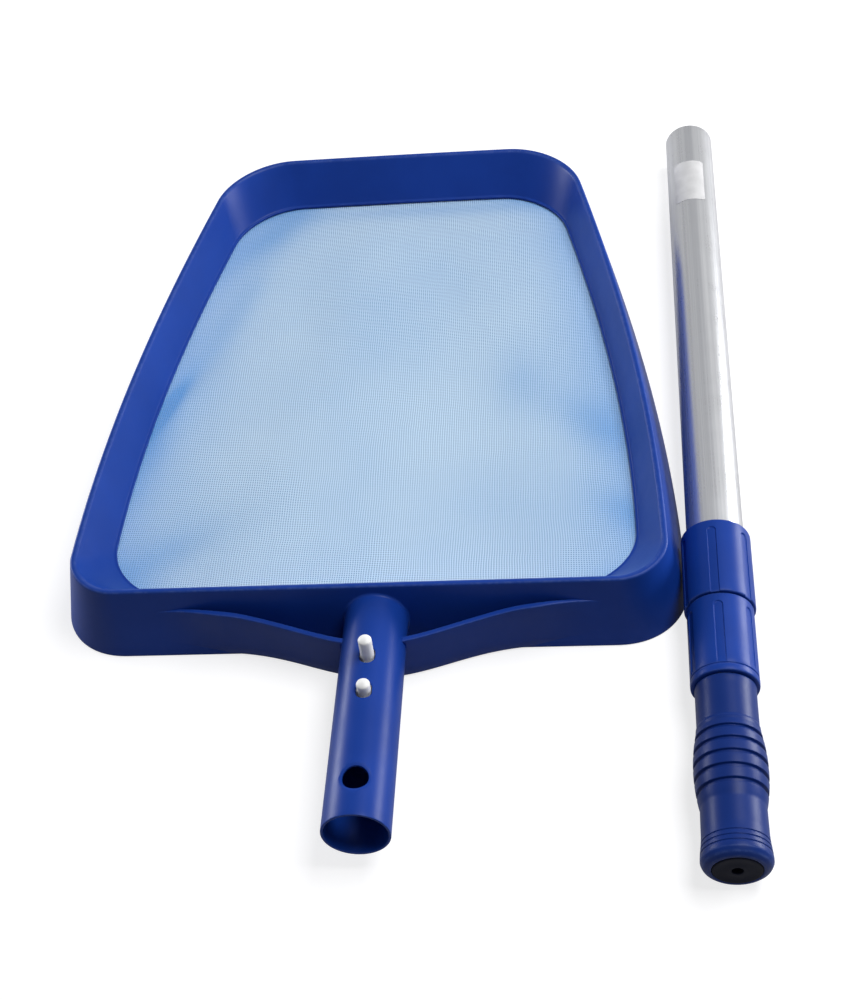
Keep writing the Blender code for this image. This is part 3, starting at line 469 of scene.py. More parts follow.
tray = {
    "crest": dict(near=0.0, far=0.341, nearHalf=0.147, farHalf=0.1021, nearRadius=0.022,
                  farRadius=0.041, sideBow=0.0106, farBow=0.0008),
    "opening": dict(near=0.0145, far=0.3229, nearHalf=0.1325, farHalf=0.0937, nearRadius=0.031,
                    farRadius=0.037, sideBow=0.0110, farBow=0.0008),
    "height": 0.041,
    "sideFlare": 0.0104,
    "endFlare": 0.0083,
    "wall": 0.0021,
    "crestWidth": 0.0026,
    "crestRound": 0.0011,
    "ledge": 0.0042,
    "slopeFoot": 0.0012,
    "groove": 0.0030,
    "lip": 0.0013,
    "netHeight": 0.0160,
    "netGap": 0.0014,
    "cornerSteps": 26,
    "sideSteps": 56,
    "endSteps": 34,
}


class Outline:  # a trapezoid with round corners and bowed sides
    def __init__(self, near, far, nearHalf, farHalf, nearRadius, farRadius, sideBow, farBow):
        self.near, self.far, self.farHalf = near, far, farHalf
        lean = atan2(nearHalf - farHalf, far - near)
        nearCut = nearRadius * tan((pi / 2 + lean) / 2)
        farCut = farRadius * tan((pi / 2 - lean) / 2)
        steps, side, end = tray["cornerSteps"], tray["sideSteps"], tray["endSteps"]

        def arc(cx, cy, radius, start, stop):
            angles = [start + (stop - start) * k / steps for k in range(steps + 1)]
            return [(cx + radius * cos(a), cy + radius * sin(a)) for a in angles]

        nearArc = arc(nearHalf - nearCut, near + nearRadius, nearRadius, -pi / 2, lean)
        farArc = arc(farHalf - farCut, far - farRadius, farRadius, lean, pi / 2)
        (ax, ay), (bx, by) = nearArc[-1], farArc[0]
        half = [(nearArc[0][0] * k / end, near) for k in range(end)] + nearArc
        half += [(ax + (bx - ax) * k / side, ay + (by - ay) * k / side) for k in range(1, side)]
        half += farArc + [(farArc[-1][0] * (1 - k / end), far) for k in range(1, end + 1)]
        points = []
        for x, y in half:
            share = (y - near) / (far - near)
            swell = 1 + 8 * sideBow * share * (1 - share) / (nearHalf + farHalf)
            points.append(Vector((x * swell, y - farBow * share * (x / farHalf) ** 2)))
        self.points = points + [Vector((-p.x, p.y)) for p in points[-2:0:-1]]
        self.rows = sorted((p.y, p.x) for p in self.points if p.x >= 0)
        self.normals = normals(self.points)

    def ring(self, offset):
        return [p + n * offset for p, n in zip(self.points, self.normals)]

    def halfWidth(self, y):
        y = min(max(y, self.near), self.far)
        for (y0, x0), (y1, x1) in zip(self.rows, self.rows[1:]):
            if y0 <= y <= y1 and y1 > y0:
                return x0 + (x1 - x0) * (y - y0) / (y1 - y0)
        return 0.0


crestLine = Outline(**tray["crest"])
openingLine = Outline(**tray["opening"])


def skirtRing(inset=0.0):
    ring = []
    for p, n in zip(crestLine.points, crestLine.normals):
        side = abs(n.x) ** 2 * (3 - 2 * abs(n.x))
        flare = tray["endFlare"] + (tray["sideFlare"] - tray["endFlare"]) * side
        ring.append(p + n * (flare - inset))
    return ring


def trayCorners():
    # the frame's section as sharp rings with the radius and steps of their rounding
    t = tray
    top, wall = t["height"], t["wall"]
    low = t["netHeight"] - 0.0003
    high = low + t["netGap"]
    ledgeTop, lipLow = high + t["lip"], low - t["lip"]
    opening, crest = openingLine.ring, crestLine.ring
    section = [
        (skirtRing(), 0.0, 0.0008, 3),
        (crest(0.0), top, t["crestRound"], 8),
        (crest(-t["crestWidth"]), top, 0.0015, 8),
        (opening(t["slopeFoot"]), ledgeTop, 0.0009, 4),
        (opening(0.0), ledgeTop, 0.0004, 3),
        (opening(0.0), high, 0.0001, 1),
        (opening(t["groove"]), high, 0.0, 0),
        (opening(t["groove"]), low, 0.0, 0),
        (opening(0.0), low, 0.0001, 1),
        (opening(0.0), lipLow, 0.0004, 2),
        (opening(t["ledge"] + wall * 0.6), lipLow, 0.0016, 3),
        (crest(-0.0042 + wall * 0.1), top - wall * 2.2, 0.0008, 2),
        (crest(-wall), top - wall * 1.9, 0.0006, 2),
        (skirtRing(wall), 0.0, 0.0005, 2),
    ]
    return [([Vector((p.x, p.y, height)) for p in ring], radius, steps)
            for ring, height, radius, steps in section]


def trayMesh():
    corners = trayCorners()
    rows = []  # (points, wear)
    for k, (ring, radius, steps) in enumerate(corners):
        before = corners[k - 1][0]
        after, nextRadius, _ = corners[(k + 1) % len(corners)]
        for i in range(steps + 1 if radius > 0.0 else 0):
            t = i / steps
            points = [bend(toward(here, a, radius), here, toward(here, b, radius), t)
                      for a, here, b in zip(before, ring, after)]
            # the foot, crest and slope-foot roundings get the edge mask, which the blue finish
            # lightens: partly wear, partly a painted highlight
            rows.append((points, 1.0 - abs(2 * t - 1) if k in (0, 1, 2, 4) else 0.0))
        if radius <= 0.0:
            rows.append((ring, 0.0))
        if (after[0] - ring[0]).length > 0.006:  # rows on a long straight keep its shading flat
            start = rows[-1][0]
            stop = [toward(there, here, nextRadius) for here, there in zip(ring, after)]
            for t in (0.03, 0.2, 0.4, 0.6, 0.8, 0.97):
                rows.append(([a.lerp(b, t) for a, b in zip(start, stop)], 0.0))
    skin = Skin()
    rings = [skin.ring(points, wear) for points, wear in rows]
    skin.join(rings, True, True)
    return skin.mesh("traySkin", 40)


socket = {
    "diameter": 0.0310,
    "bore": 0.0286,
    "length": 0.1265,
    "tilt": 3.4,
    "rootHeight": 0.0204,
    "shift": 0.0060,
    "endWall": 0.0025,
    "mouthRound": 0.0004,
    "fillet": 0.0012,
    "buttonFromRoot": 0.0382,
    "pegFromRoot": 0.0586,
    "holeLength": 0.0096,
    "holeWidth": 0.0074,
    "holeShift": 0.0006,
    "holeEdge": 0.0004,
    "lockHole": 0.0112,
    "lockEdge": 0.0016,
    "lockFromMouth": 0.0197,
    "steps": 144,
}
socketPlace = (Matrix.Translation((socket["shift"], 0.0, socket["rootHeight"]))
               @ Matrix.Rotation(pi / 2 - radians(socket["tilt"]), 4, "X"))


def wallAlong(up):  # where the near wall's outside is along the socket, at a height above its axis
    lean = tray["endFlare"] / tray["height"] - tan(radians(socket["tilt"]))
    return tray["endFlare"] * (1 - socket["rootHeight"] / tray["height"]) - up * lean


def acrossSocket(fromRoot):  # local Z points up through the upper wall, local Y to the root
    return Matrix.Translation((0, 0, fromRoot)) @ Matrix.Rotation(-pi / 2, 4, "X")


def holeCutter(outline, flare, fromRoot):
    # an outline through the upper wall that opens out in a soft edge along the surface
    radius = socket["diameter"] / 2
    skin, rings = Skin(), []
    for out, drop in ((0.0, -0.006), (0.0, -0.0012), (0.0, -flare), (flare * 0.3, -flare * 0.3),
                      (flare, 0.0), (flare * 2.0, 0.0002), (flare * 2.0, 0.004)):
        points = []
        for point, way in zip(outline, normals(outline)):
            p = point + way * out
            points.append((p.x, p.y, sqrt(max(radius * radius - p.x * p.x, 0.0)) + drop))
        rings.append(skin.ring(points))
    mesh = skin.loft(rings).mesh("holeCutter")
    mesh.transform(acrossSocket(fromRoot))
    return mesh


def capsule(length, width, steps):
    half = (length - width) / 2
    points = [p + Vector((0.0, half)) for p in circle(width / 2, 2 * steps)[:steps + 1]]
    return points + [-p for p in points]


def socketMesh():
    s = socket
    outer, inner, edge = s["diameter"] / 2, s["bore"] / 2, s["mouthRound"]
    start = wallAlong(0.0) - tray["wall"] * 0.5
    floor = wallAlong(0.0) + s["endWall"] + outer * (wallAlong(-1.0) - wallAlong(0.0))
    corners = [(start, 0.0, 0.0, 0), (start, outer, 0.0, 0), (s["length"], outer, edge, 4),
               (s["length"], inner, edge, 4), (floor, inner, 0.001, 3), (floor, 0.0, 0.0, 0)]
    profile = spaced(rounded(corners, False), 0.0021, False)
    skin = turnedSkin(profile, evenly(s["steps"]), False)
    for vert in skin.bm.verts:  # the root follows the leaning wall
        if vert.co.z < start + 1e-6:
            vert.co.z = start + wallAlong(vert.co.y) - wallAlong(0.0)
    tube = skin.mesh("socketSkin", 35)
    slot = capsule(s["holeLength"], s["holeWidth"], 24)
    cutters = [holeCutter(slot, s["holeEdge"], place + s["holeShift"])
               for place in (s["buttonFromRoot"], s["pegFromRoot"])]
    lock = circle(s["lockHole"] / 2, 72)
    cutters.append(holeCutter(lock, s["lockEdge"], s["length"] - s["lockFromMouth"]))
    return cut(tube, cutters)


def filletMesh():  # a small hollow ring where the socket leaves the wall
    s = socket
    radius, f = s["diameter"] / 2, s["fillet"]
    skin = Skin()
    sunk = 0.0006  # how deep its back lies in the wall and the socket
    hollow = [(radius + f * (1 - cos(a)), f * (1 - sin(a)))
              for a in [pi / 2 * k / 8 for k in range(9)]]
    back = [(radius + f, -sunk), (radius - sunk, -sunk), (radius - sunk, f)]
    rings = [skin.ring([(x, y, wallAlong(y) + along) for x, y in circle(out, s["steps"])])
             for out, along in hollow + back]
    skin.join(rings, True, True)
    return skin.mesh("filletSkin", 60)


web = {
    "reach": 0.110,
    "root": 0.0060,
    "depth": 0.0175,
    "blend": 0.036,
    "height": 0.0272,
    "hump": 0.0036,  # how much its top rises where it leaves the wall
    "humpAt": 0.078,
    "humpWidth": 0.022,
    "thickness": 0.0028,
    "foot": 0.0008,
    "power": 2.2,
    "round": 0.0007,
    "steps": 150,
}


def webMesh():
    w = web
    skin, rings = Skin(), []
    for k in range(w["steps"] + 1):
        x = -w["reach"] + 2 * w["reach"] * k / w["steps"]
        hump = exp(-((abs(x) - w["humpAt"]) / w["humpWidth"]) ** 2)
        top = w["foot"] + w["height"] + w["hump"] * hump
        share = min(1.0, (w["reach"] - abs(x)) / w["blend"])
        share = share * share * (3 - 2 * share)
        swell = (1 + cos(pi * x / w["reach"])) / 2
        half = tray["wall"] * 0.3 + (w["thickness"] / 2 - tray["wall"] * 0.3) * share
        corners = [(half, w["foot"], 0.0003, 2), (half, top, w["round"], 5),
                   (-half, top, w["round"], 5), (-half, w["foot"], 0.0003, 2)]
        section = spaced(rounded(corners), 0.006)
        upright = w["root"] + w["depth"] * swell ** w["power"]
        points = []
        for out, z, wear in section:
            inWall = tray["endFlare"] * (1 - z / tray["height"]) - half - 0.00004
            points.append((socket["shift"] + x, -(inWall + (upright - inWall) * share) - out, z))
        ring = skin.ring(points)
        # the top edge gets the edge mask, which the blue finish lightens: partly wear, partly a
        # painted highlight
        for vert, (out, z, wear) in zip(ring, section):
            vert[skin.wear] = wear if z > top - 0.002 else 0.0
        rings.append(ring)
    core = rod("webCore", 0.0149, 72, 0.009, socket["length"] - 0.02)  # keeps the socket free
    core.transform(socketPlace)
    return cut(skin.loft(rings).mesh("webSkin", 50), [core])


def makeFrame(material):
    tube, fillet = socketMesh(), filletMesh()
    for mesh in (tube, fillet):
        mesh.transform(socketPlace)
    piece = merged("frameShell", [trayMesh(), webMesh(), tube, fillet], material)
    return seat(piece, headPlace, "head", "blue_plastic", "skimmer_frame")


net = {
    "pitch": 0.00122,
    "tuck": 0.0026,  # how far its edge lies in the ledge's groove
    "sag": 0.0030,
    "rows": 150,
    "columns": 130,
    "pale": colour(0.61, 0.80, 0.97),
    "blue": colour(0.15, 0.40, 0.80),
    # painted shade: the gaps between the threads are coloured dark blue for the shaded floor
    # beneath
    "gap": colour(0.06, 0.22, 0.54),
    "fibre": colour(0.78, 0.88, 0.97),
    "open": 0.22,  # share of the light that the gaps let through
    # painted shade: how much bluer the cloth turns towards the side rims
    "sideShadeBlue": 0.52,
    "nearPale": 0.35,
    "drift": 0.0024,  # how far the threads wander
    "threadDepth": 0.00022,
}
# soft spots in millimetres: place, direction in degrees, half length, half width, amount
creases = [(-128, 136, 62, 34, 9, 0.9), (-113, 172, 55, 30, 7, -0.6), (117, 122, 128, 34, 10, 0.9),
           (133, 62, 140, 26, 8, -0.8), (74, 163, 100, 26, 14, 0.5), (-108, 45, 40, 34, 9, -0.6),
           (-70, 30, 20, 40, 12, 0.4), (95, 160, 115, 22, 8, -0.5), (20, 120, 5, 60, 22, 0.5),
           (-50, 215, 95, 40, 16, -0.4)]
# painted shade: bluer soft spots where the creases and the rims shade the cloth
paintedShadeSpots = [(-121, 155, 70, 24, 5, 0.60), (-128, 120, 80, 40, 10, 0.25),
          (117, 123, 128, 30, 15, 0.40), (135, 59, 140, 30, 12, 0.35),
          (74, 164, 100, 26, 16, 0.28), (-110, 42, 40, 36, 13, 0.35), (-78, 298, 50, 34, 12, 0.45),
          (20, 316, 0, 90, 7, 0.35), (-95, 225, 72, 50, 9, 0.25), (20, 230, 60, 70, 40, 0.12),
          (60, 60, 150, 60, 25, 0.08)]


def spots(items, x, y):
    total = 0.0
    for cx, cy, turn, length, width, amount in items:
        a = radians(turn)
        dx, dy = x * 1000 - cx, y * 1000 - cy
        along, across = dx * cos(a) + dy * sin(a), dy * cos(a) - dx * sin(a)
        total += amount * exp(-(along / length) ** 2 - (across / width) ** 2)
    return total


def creaseHeight(x, y):
    return spots(creases, x, y) / 1000


def netMesh():
    line, tuck = openingLine, net["tuck"]
    reach, middle = (line.far - line.near) / 2, (line.near + line.far) / 2
    skin, rings = Skin(), []
    for row in range(net["rows"] + 1):
        t = row / net["rows"]
        y = line.near + (line.far - line.near) * t
        half = line.halfWidth(y)
        ring = []
        for column in range(net["columns"] + 1):
            x = (2 * column / net["columns"] - 1) * (half + tuck)
            across, along = x / max(half, line.farHalf / 2), (y - middle) / reach
            hold = max(0.0, 1 - across ** 2) * max(0.0, 1 - along ** 2)
            z = tray["netHeight"] + 0.0004 - net["sag"] * hold
            z += creaseHeight(x, y) * min(1.0, hold * 5)
            ring.append((x, y + tuck * (2 * t - 1), z))
        rings.append(skin.ring(ring))
    skin.join(rings, False, False)
    mesh = skin.mesh("netSkin", 180, False)
    if mesh.polygons[0].normal.z < 0:
        mesh.flip_normals()
    tint = mesh.attributes.new("tint", "FLOAT", "POINT")
    for vertex, store in zip(mesh.vertices, tint.data):
        x, y = vertex.co.x, vertex.co.y
        side = abs(x) / max(line.halfWidth(y), 0.05)
        pale = net["nearPale"] * exp(-((y - line.near) / 0.0035) ** 2)
        # the tint is painted shade, bluer at the sides and in the spots, and paler along the near
        # edge
        store.value = net["sideShadeBlue"] * min(side, 1.0) ** 5 + spots(paintedShadeSpots, x, y) - pale
    layer = mesh.uv_layers.new(name="weave")
    for loop in mesh.loops:
        p = mesh.vertices[loop.vertex_index].co
        # the cloth was pulled a little at its corners, which bends the threads
        pull = 0.004 * exp(-((abs(p.x) - 0.12) / 0.045) ** 2 - ((p.y - 0.03) / 0.05) ** 2)
        side = 1 if p.x > 0 else -1
        layer.data[loop.index].uv = (p.x - side * pull * 0.7 + 0.6 * creaseHeight(p.x, p.y),
                                     p.y + pull + 0.8 * creaseHeight(p.x + 0.01, p.y))
    return mesh


def netFinish():
    f = Finish("wovenNet", IOR=1.45, Specular_IOR_Level=0.30)
    flat = f.node("ShaderNodeUVMap", {"uv_map": "weave"})
    drift = f.noise(flat, 22.0, 3.0, 0.55, noise_dimensions="2D").out("Color")
    push = f.vector("SCALE", f.vector("SUBTRACT", drift, (0.5, 0.5, 0.5)), net["drift"], "Scale")
    u = f.split(f.vector("ADD", flat, push))
    v = u.out("Y")
    turns = 2 * pi / net["pitch"]
    warp = (u * turns).math("COSINE") * 0.5 + 0.5   # 1 on a thread that runs along Y
    weft = (v * turns).math("COSINE") * 0.5 + 0.5
    over = (u * (turns / 2)).math("SINE") * (v * (turns / 2)).math("SINE") * 0.5 + 0.5
    threads = warp.math("MAXIMUM", weft)
    gap = 1.0 - threads.step(0.34, 0.62)
    cloud = f.noise(flat, 11.0, 3.0, 0.55, noise_dimensions="2D")
    fibre = f.noise(flat, 1400.0, 2.0, 0.6, noise_dimensions="2D")
    tint = f.attribute("tint") + (cloud - 0.5) * 0.35 + 0.06
    # painted shade: the tint moves the pale threads towards the blue
    tone = f.mix(tint.clamp(), net["pale"], net["blue"])
    # painted shade: the gaps between the threads darken towards the dark blue
    tone = f.mix((1.0 - threads.step(0.30, 0.95)) * 0.75, tone, net["gap"])
    tone = f.mix(fibre.step(0.45, 0.75) * threads * 0.22, tone, net["fibre"])
    height = threads * 0.7 + over * 0.3 + fibre * 0.1
    alpha = 1.0 - gap * net["open"] * (1.0 - tint.clamp() * 0.6)
    rough = 0.55 + (fibre - 0.5) * 0.2
    return f.done(tone, rough, height, net["threadDepth"], 0.7, Alpha=alpha.clamp())


def makeNet():
    mesh = netMesh()
    piece = link("netCloth", mesh, netFinish())
    seat(piece, headPlace, "head", "net_mesh", "skimmer_net")
    return piece


# The clip: a round-topped button and a short peg on one springy lever

clip = {
    "postDiameter": 0.0064,
    "buttonRise": 0.0110,
    "pegRise": 0.0045,
    "leafWidth": 0.0090,
    "leafThickness": 0.0018,
    "leafGap": 0.0026,
    "tail": 0.0050,
    "pivotFromRoot": 0.0165,
    "softEdge": 0.0004,
    "topRound": 0.55,  # share of the post's radius that its round top is high
}


def makeClip(material):
    c, s = clip, socket
    half = c["leafThickness"] / 2
    leaf = s["bore"] / 2 - c["leafGap"]
    pivot = socketPlace @ Matrix.Translation((0.0, leaf - half, c["pivotFromRoot"]))
    length = s["pegFromRoot"] - c["pivotFromRoot"] + c["tail"]
    corners = [(0.0003, -half, 0.0, 0), (length, -half, half * 0.9, 5),
               (length, half, half * 0.9, 5), (0.0003, half, 0.0, 0)]
    outline = spaced(rounded(corners), 0.004)
    skin = Skin()
    wide, soft = c["leafWidth"] / 2, c["softEdge"]
    rings = [skin.ring([(x, up * k, along) for along, up, wear in outline])
             for x, k in ((-wide, 0.7), (-wide + soft, 1.0), (wide - soft, 1.0), (wide, 0.7))]
    meshes = [skin.loft(rings).mesh("leverSkin", 40)]
    rise = s["diameter"] / 2 - leaf + half
    for post in ("button", "peg"):
        fromRoot, top = s[post + "FromRoot"], rise + c[post + "Rise"]
        r = c["postDiameter"] / 2
        dome = r * c["topRound"]
        profile = [(0.0, 0.0, 0.0), (0.0, r, 0.0), (half + 0.0002, r, 0.0), (top - dome, r, 0.0)]
        profile += [(top - dome + dome * sin(a), r * cos(a), sin(2 * a))
                    for a in [pi / 2 * k / 9 for k in range(1, 9)]]
        profile += [(top, 0.0, 0.0)]
        skin = turnedSkin(spaced(profile, 0.0015, False), evenly(48), False)
        meshes.append(skin.mesh("postSkin", 50))
        meshes[-1].transform(acrossSocket(fromRoot - c["pivotFromRoot"]))
    piece = merged("clipLever", meshes, material)
    return seat(piece, headPlace @ pivot, "clip", "white_nylon", "clip_button")


# The pole, told along its axis from its open far end
pole = {
    "end": (0.16096446, 0.25340533, 0.0170),
    "turn": 1.2,
    "length": 0.5070,
    "gripLength": 0.0920,
    "lockLength": 0.0440,
    "gap": 0.0005,
    "outerTube": 0.0280,
    "middleTube": 0.0250,
    "innerTube": 0.0220,
    "wall": 0.0010,
    "collar1": 0.0340,
    "collar2": 0.0318,
    "sleeveWall1": 0.0011,
    "sleeveWall2": 0.0014,
    "clearance": 0.0003,
    "steps": 144,
}
polePlace = (Matrix.Translation(pole["end"]) @ Matrix.Rotation(-radians(pole["turn"]), 4, "Z")
             @ Matrix.Rotation(pi / 2, 4, "X"))
lock2End = pole["length"] - pole["gripLength"] - pole["gap"]
lock2Start = lock2End - pole["lockLength"]
lock1End = lock2Start - pole["gap"]
lock1Start = lock1End - pole["lockLength"]

tubeEnd = {"bevel": 0.00022, "pegHole": 0.0070, "pegHoleFromEnd": 0.0145, "inCollar": 0.020}


def makeOuterTube(material):
    t = tubeEnd
    outer, soft, end = pole["outerTube"] / 2, t["bevel"], lock1Start + t["inCollar"]
    inner = outer - pole["wall"]
    corners = [(0.0, inner, soft, 2), (0.0, outer, soft, 3), (end, outer, soft, 2),
               (end, inner, soft, 2)]
    tube = turnedSkin(spaced(rounded(corners), 0.012), evenly(120)).mesh("tubeSkin", 50)
    hole = rod("pegHole", t["pegHole"] / 2, 40, 0.005, 0.02)
    hole.transform(Matrix.Translation((0, 0, t["pegHoleFromEnd"]))
                   @ Matrix.Rotation(pi / 2, 4, "X"))
    piece = link("outerTubeDrawn", cut(tube, [hole]), material)
    return seat(piece, polePlace, "pole_outer", "aluminium", "outer_tube")


collarLook = {
    "slots": 6,
    "slotTurn": (25.0, 22.0),  # degrees, for the first and the second collar
    "slotWidth": 0.0042,
    "slotDepth": 0.0006,
    "slotStart": 0.0045,
    "softness": 0.00018,
    "round": 0.0009,
}


def collarAngles(turn):
    # columns close together at the slots' edges, told in half widths of a slot
    unit = collarLook["slotWidth"] / pole["collar1"]
    sector = 2 * pi / collarLook["slots"]
    near = [0.0, 0.25, 0.5, 0.7, 0.8, 0.86, 0.9, 0.94, 0.98, 1.02, 1.06, 1.1, 1.16, 1.3]
    offsets = sorted({side * n * unit for n in near for side in (-1, 1)})
    edge = offsets[-1]
    angles = []
    for k in range(collarLook["slots"]):
        centre = turn + sector * (k + 0.25)
        angles += [centre + o for o in offsets]
        angles += [centre + edge + (sector - 2 * edge) * i / 12 for i in range(1, 12)]
    return angles


def collarRows(start, end):
    first = start + collarLook["slotStart"]
    rows = [first + 0.0001 * k for k in range(-4, 26)]
    rows += [first + 0.0026 + 0.0015 * k for k in range(1, 40)]
    return [row for row in rows if row < end - 0.0062]


def makeCollar(name, number, tree, material):
    c = collarLook
    start, end = ((lock1Start, lock1End), (lock2Start, lock2End))[number - 1]
    outer = pole[f"collar{number}"] / 2
    tube, passing = (pole[key] / 2 for key in (("outerTube", "middleTube"),
                                               ("middleTube", "innerTube"))[number - 1])
    bore = tube + pole[f"sleeveWall{number}"] + 2 * pole["clearance"]
    lip = passing + pole["clearance"] * 1.2
    r, sleeveEnd = c["round"], end - 0.005
    corners = [(start, bore, 0.0002, 1), (start, outer, r, 5)]
    if number == 2:  # a turned bead behind a thin groove
        corners += [(end - back, outer - drop, 0.0002, 2) for back, drop in (
            (0.0044, 0.0), (0.0041, 0.0005), (0.0035, 0.0005), (0.0032, -0.0001))]
    corners += [(end, outer, r, 5), (end, lip, 0.0002, 1), (sleeveEnd + 0.002, lip, 0.0002, 1),
                (sleeveEnd + 0.0005, (bore + lip) / 2 + 0.00066, 0.0, 0),
                (sleeveEnd - 0.0117, bore, 0.0, 0)]
    profile = rounded(corners)
    after = next(i for i, p in enumerate(profile) if p[0] > start + 0.002)
    profile[after:after] = [(row, outer, 0.0) for row in collarRows(start, end)]
    turn = radians(c["slotTurn"][number - 1])
    skin = turnedSkin(spaced(profile, 0.004), collarAngles(turn))
    piece = shaped(name, skin.mesh("collarSkin", 45), tree, {
        "Sector": 2 * pi / c["slots"], "Turn": turn, "Start": start + c["slotStart"],
        "End": end - (0.0046 if number == 2 else -0.002), "Width": c["slotWidth"],
        "Depth": c["slotDepth"], "Softness": c["softness"], "Radius": outer}, material)
    return seat(piece, polePlace, f"collar_{number}", "blue_plastic", f"lock_collar_{number}")


grip = {
    "neck": 0.0281,
    "barrel": 0.0334,
    "waist": 0.0289,
    "tail": 0.0312,
    "neckLength": 0.0225,
    "barrelLength": 0.0400,
    "waistLength": 0.0175,
    "grooves": 5,
    "groovePitch": 0.0069,
    "grooveWidth": 0.0021,
    "grooveDepth": 0.0013,
    "fineGrooves": 3,
    "finePitch": 0.0026,
    "fineWidth": 0.0006,
    "fineDepth": 0.0004,
    "chamfer": 0.0036,
    "tubeInside": 0.0620,
    "rowStep": 0.0008,  # between its rings, then in the grooves and in the fine grooves
    "grooveStep": 0.00016,
    "fineStep": 0.0001,
}
endCap = {"diameter": 0.0215, "thickness": 0.0022, "hole": 0.0052, "spigot": 0.0080,
          "dish": 0.00025}


def gripParts():  # where the barrel, the waist and the fine grooves start
    barrel = grip["neckLength"]
    waist = barrel + grip["barrelLength"]
    return barrel, waist, waist + grip["waistLength"]


def gripRadius(s):  # without its grooves, from the grip's far end
    g = grip
    neck, barrel, waist, tail = (g[k] / 2 for k in ("neck", "barrel", "waist", "tail"))
    first, second, third = gripParts()
    if s < first:
        lift = max(0.0, (s - first + 0.0012) / 0.0012)
        return neck + 0.0002 * max(0.0, 1 - s / 0.004) + 0.0004 * lift * lift
    if s < second:
        share = (s - first) / g["barrelLength"]
        bulge = (barrel - max(neck, waist)) * sin(pi * share) ** 0.8
        step = 0.0004 * max(0.0, 1 - (s - first) / 0.002)
        return neck + (waist - neck) * share + bulge + step
    if s < third - 0.004:
        return waist + 0.0002 * (s - second) / g["waistLength"]
    share = min(1.0, (s - third + 0.004) / (0.004 + g["finePitch"] * g["fineGrooves"]))
    return waist + 0.0002 + (tail - waist - 0.0002) * share * share * (3 - 2 * share)


def makeGrip(tree, material):
    g = grip
    start = lock2End + pole["gap"]
    end = pole["length"] - pole["clearance"]
    length, tail, chamfer = end - start, g["tail"] / 2, g["chamfer"]
    seatRadius = endCap["diameter"] / 2 + pole["clearance"]
    bore = pole["innerTube"] / 2 + pole["clearance"]
    core = pole["innerTube"] / 2 - pole["wall"] - 0.002
    tubeEndAt = start + g["tubeInside"] + pole["clearance"]
    barrel, waist, fine = gripParts()
    profile = [(start, bore, 0.0), (start, gripRadius(0.0) - 0.0007, 0.0),
               (start + 0.0002, gripRadius(0.0) - 0.0002, 1.0),
               (start + 0.0007, gripRadius(0.0007), 0.0)]
    s = 0.0011
    while s < length - chamfer:
        profile.append((start + s, gripRadius(s), 0.0))
        if barrel - 0.002 < s < waist - 0.002:
            s += g["grooveStep"]
        else:
            s += g["fineStep"] if fine - 0.001 < s < length - 0.006 else g["rowStep"]
    turned = rounded([(length - chamfer - 0.001, tail, 0.0, 0),
                      (length - chamfer, tail, 0.0006, 4),
                      (length - chamfer * 0.4, tail - chamfer * 0.28, 0.0010, 4),
                      (length, seatRadius + 0.0014, 0.0008, 4), (length, seatRadius, 0.0003, 2),
                      (length - endCap["thickness"], seatRadius, 0.0, 0)], False)
    profile += [(start + a, out, wear) for a, out, wear in turned if a > length - chamfer - 0.0009]
    profile += [(end - endCap["thickness"], core, 0.0), (tubeEndAt, core, 0.0),
                (tubeEndAt, bore, 0.0)]
    mesh = turnedSkin(spaced(profile, 0.008), evenly(pole["steps"])).mesh("gripSkin", 45)
    middle = start + g["neckLength"] + g["barrelLength"] / 2
    deep = shaped("gripDeep", mesh, tree, {
        "First": middle - (g["grooves"] - 1) / 2 * g["groovePitch"], "Pitch": g["groovePitch"],
        "Count": float(g["grooves"]), "Width": g["grooveWidth"], "Depth": g["grooveDepth"],
        "Softness": 0.00025}, material)
    ribbed = shaped("gripRibbed", deep.data, tree, {
        "First": start + fine, "Pitch": g["finePitch"], "Count": float(g["fineGrooves"]),
        "Width": g["fineWidth"], "Depth": g["fineDepth"], "Softness": 0.00018}, material)
    bpy.data.objects.remove(deep)
    return seat(ribbed, polePlace, "pole_inner", "blue_plastic", "grip")


def makeEndCap(material):
    c, face = endCap, pole["length"]
    radius, hole, back = c["diameter"] / 2, c["hole"] / 2, face - c["thickness"]
    core = pole["innerTube"] / 2 - pole["wall"] - 0.002 - pole["clearance"]
    corners = [(face, hole, 0.0004, 4), (face, radius, 0.0006, 5), (back, radius, 0.0, 0),
               (back, core, 0.0, 0), (back - c["spigot"], core, 0.0003, 2),
               (back - c["spigot"], hole, 0.0, 0)]
    dished = []  # a shallow turned dish between the hole and the rim
    for along, out, wear in spaced(rounded(corners), 0.0015):
        if along > face - 0.00001 and hole + 0.0006 < out < radius - 0.0010:
            along -= c["dish"] * sin(pi * (out - hole) / (radius - hole))
        dished.append((along, out, wear))
    piece = link("gripCap", turnedSkin(dished, evenly(96)).mesh("capSkin", 40), material)
    return seat(piece, polePlace, "pole_inner", "grey_plastic", "grip_end_cap")


label = {
    "from": 0.0360,  # along the tube from its open end
    "length": 0.0370,
    "turnStart": 62.0,  # degrees round the tube
    "turnEnd": 138.0,
    "thickness": 0.00012,
    "under": 0.00002,
    "corner": 0.0016,
    "curl": 0.0003,  # how far its corners lift, and over what distance
    "curlReach": 0.005,
    "rows": 30,
    "columns": 24,
    "dark": colour(0.58, 0.58, 0.59),
    "light": colour(0.65, 0.65, 0.66),
}


def paperFinish():
    f = Finish("paperLabel", IOR=1.45, Specular_IOR_Level=0.35)
    place = f.coords()
    fibre = f.noise(place, 1600.0, 4.0, 0.7)
    cloud = f.noise(place, 120.0, 3.0, 0.5)
    tone = f.mix(cloud.step(0.35, 0.7), label["dark"], label["light"])
    rough = 0.42 + (fibre - 0.5) * 0.2
    return f.done(tone, rough, fibre + cloud, 0.00003, 0.6)


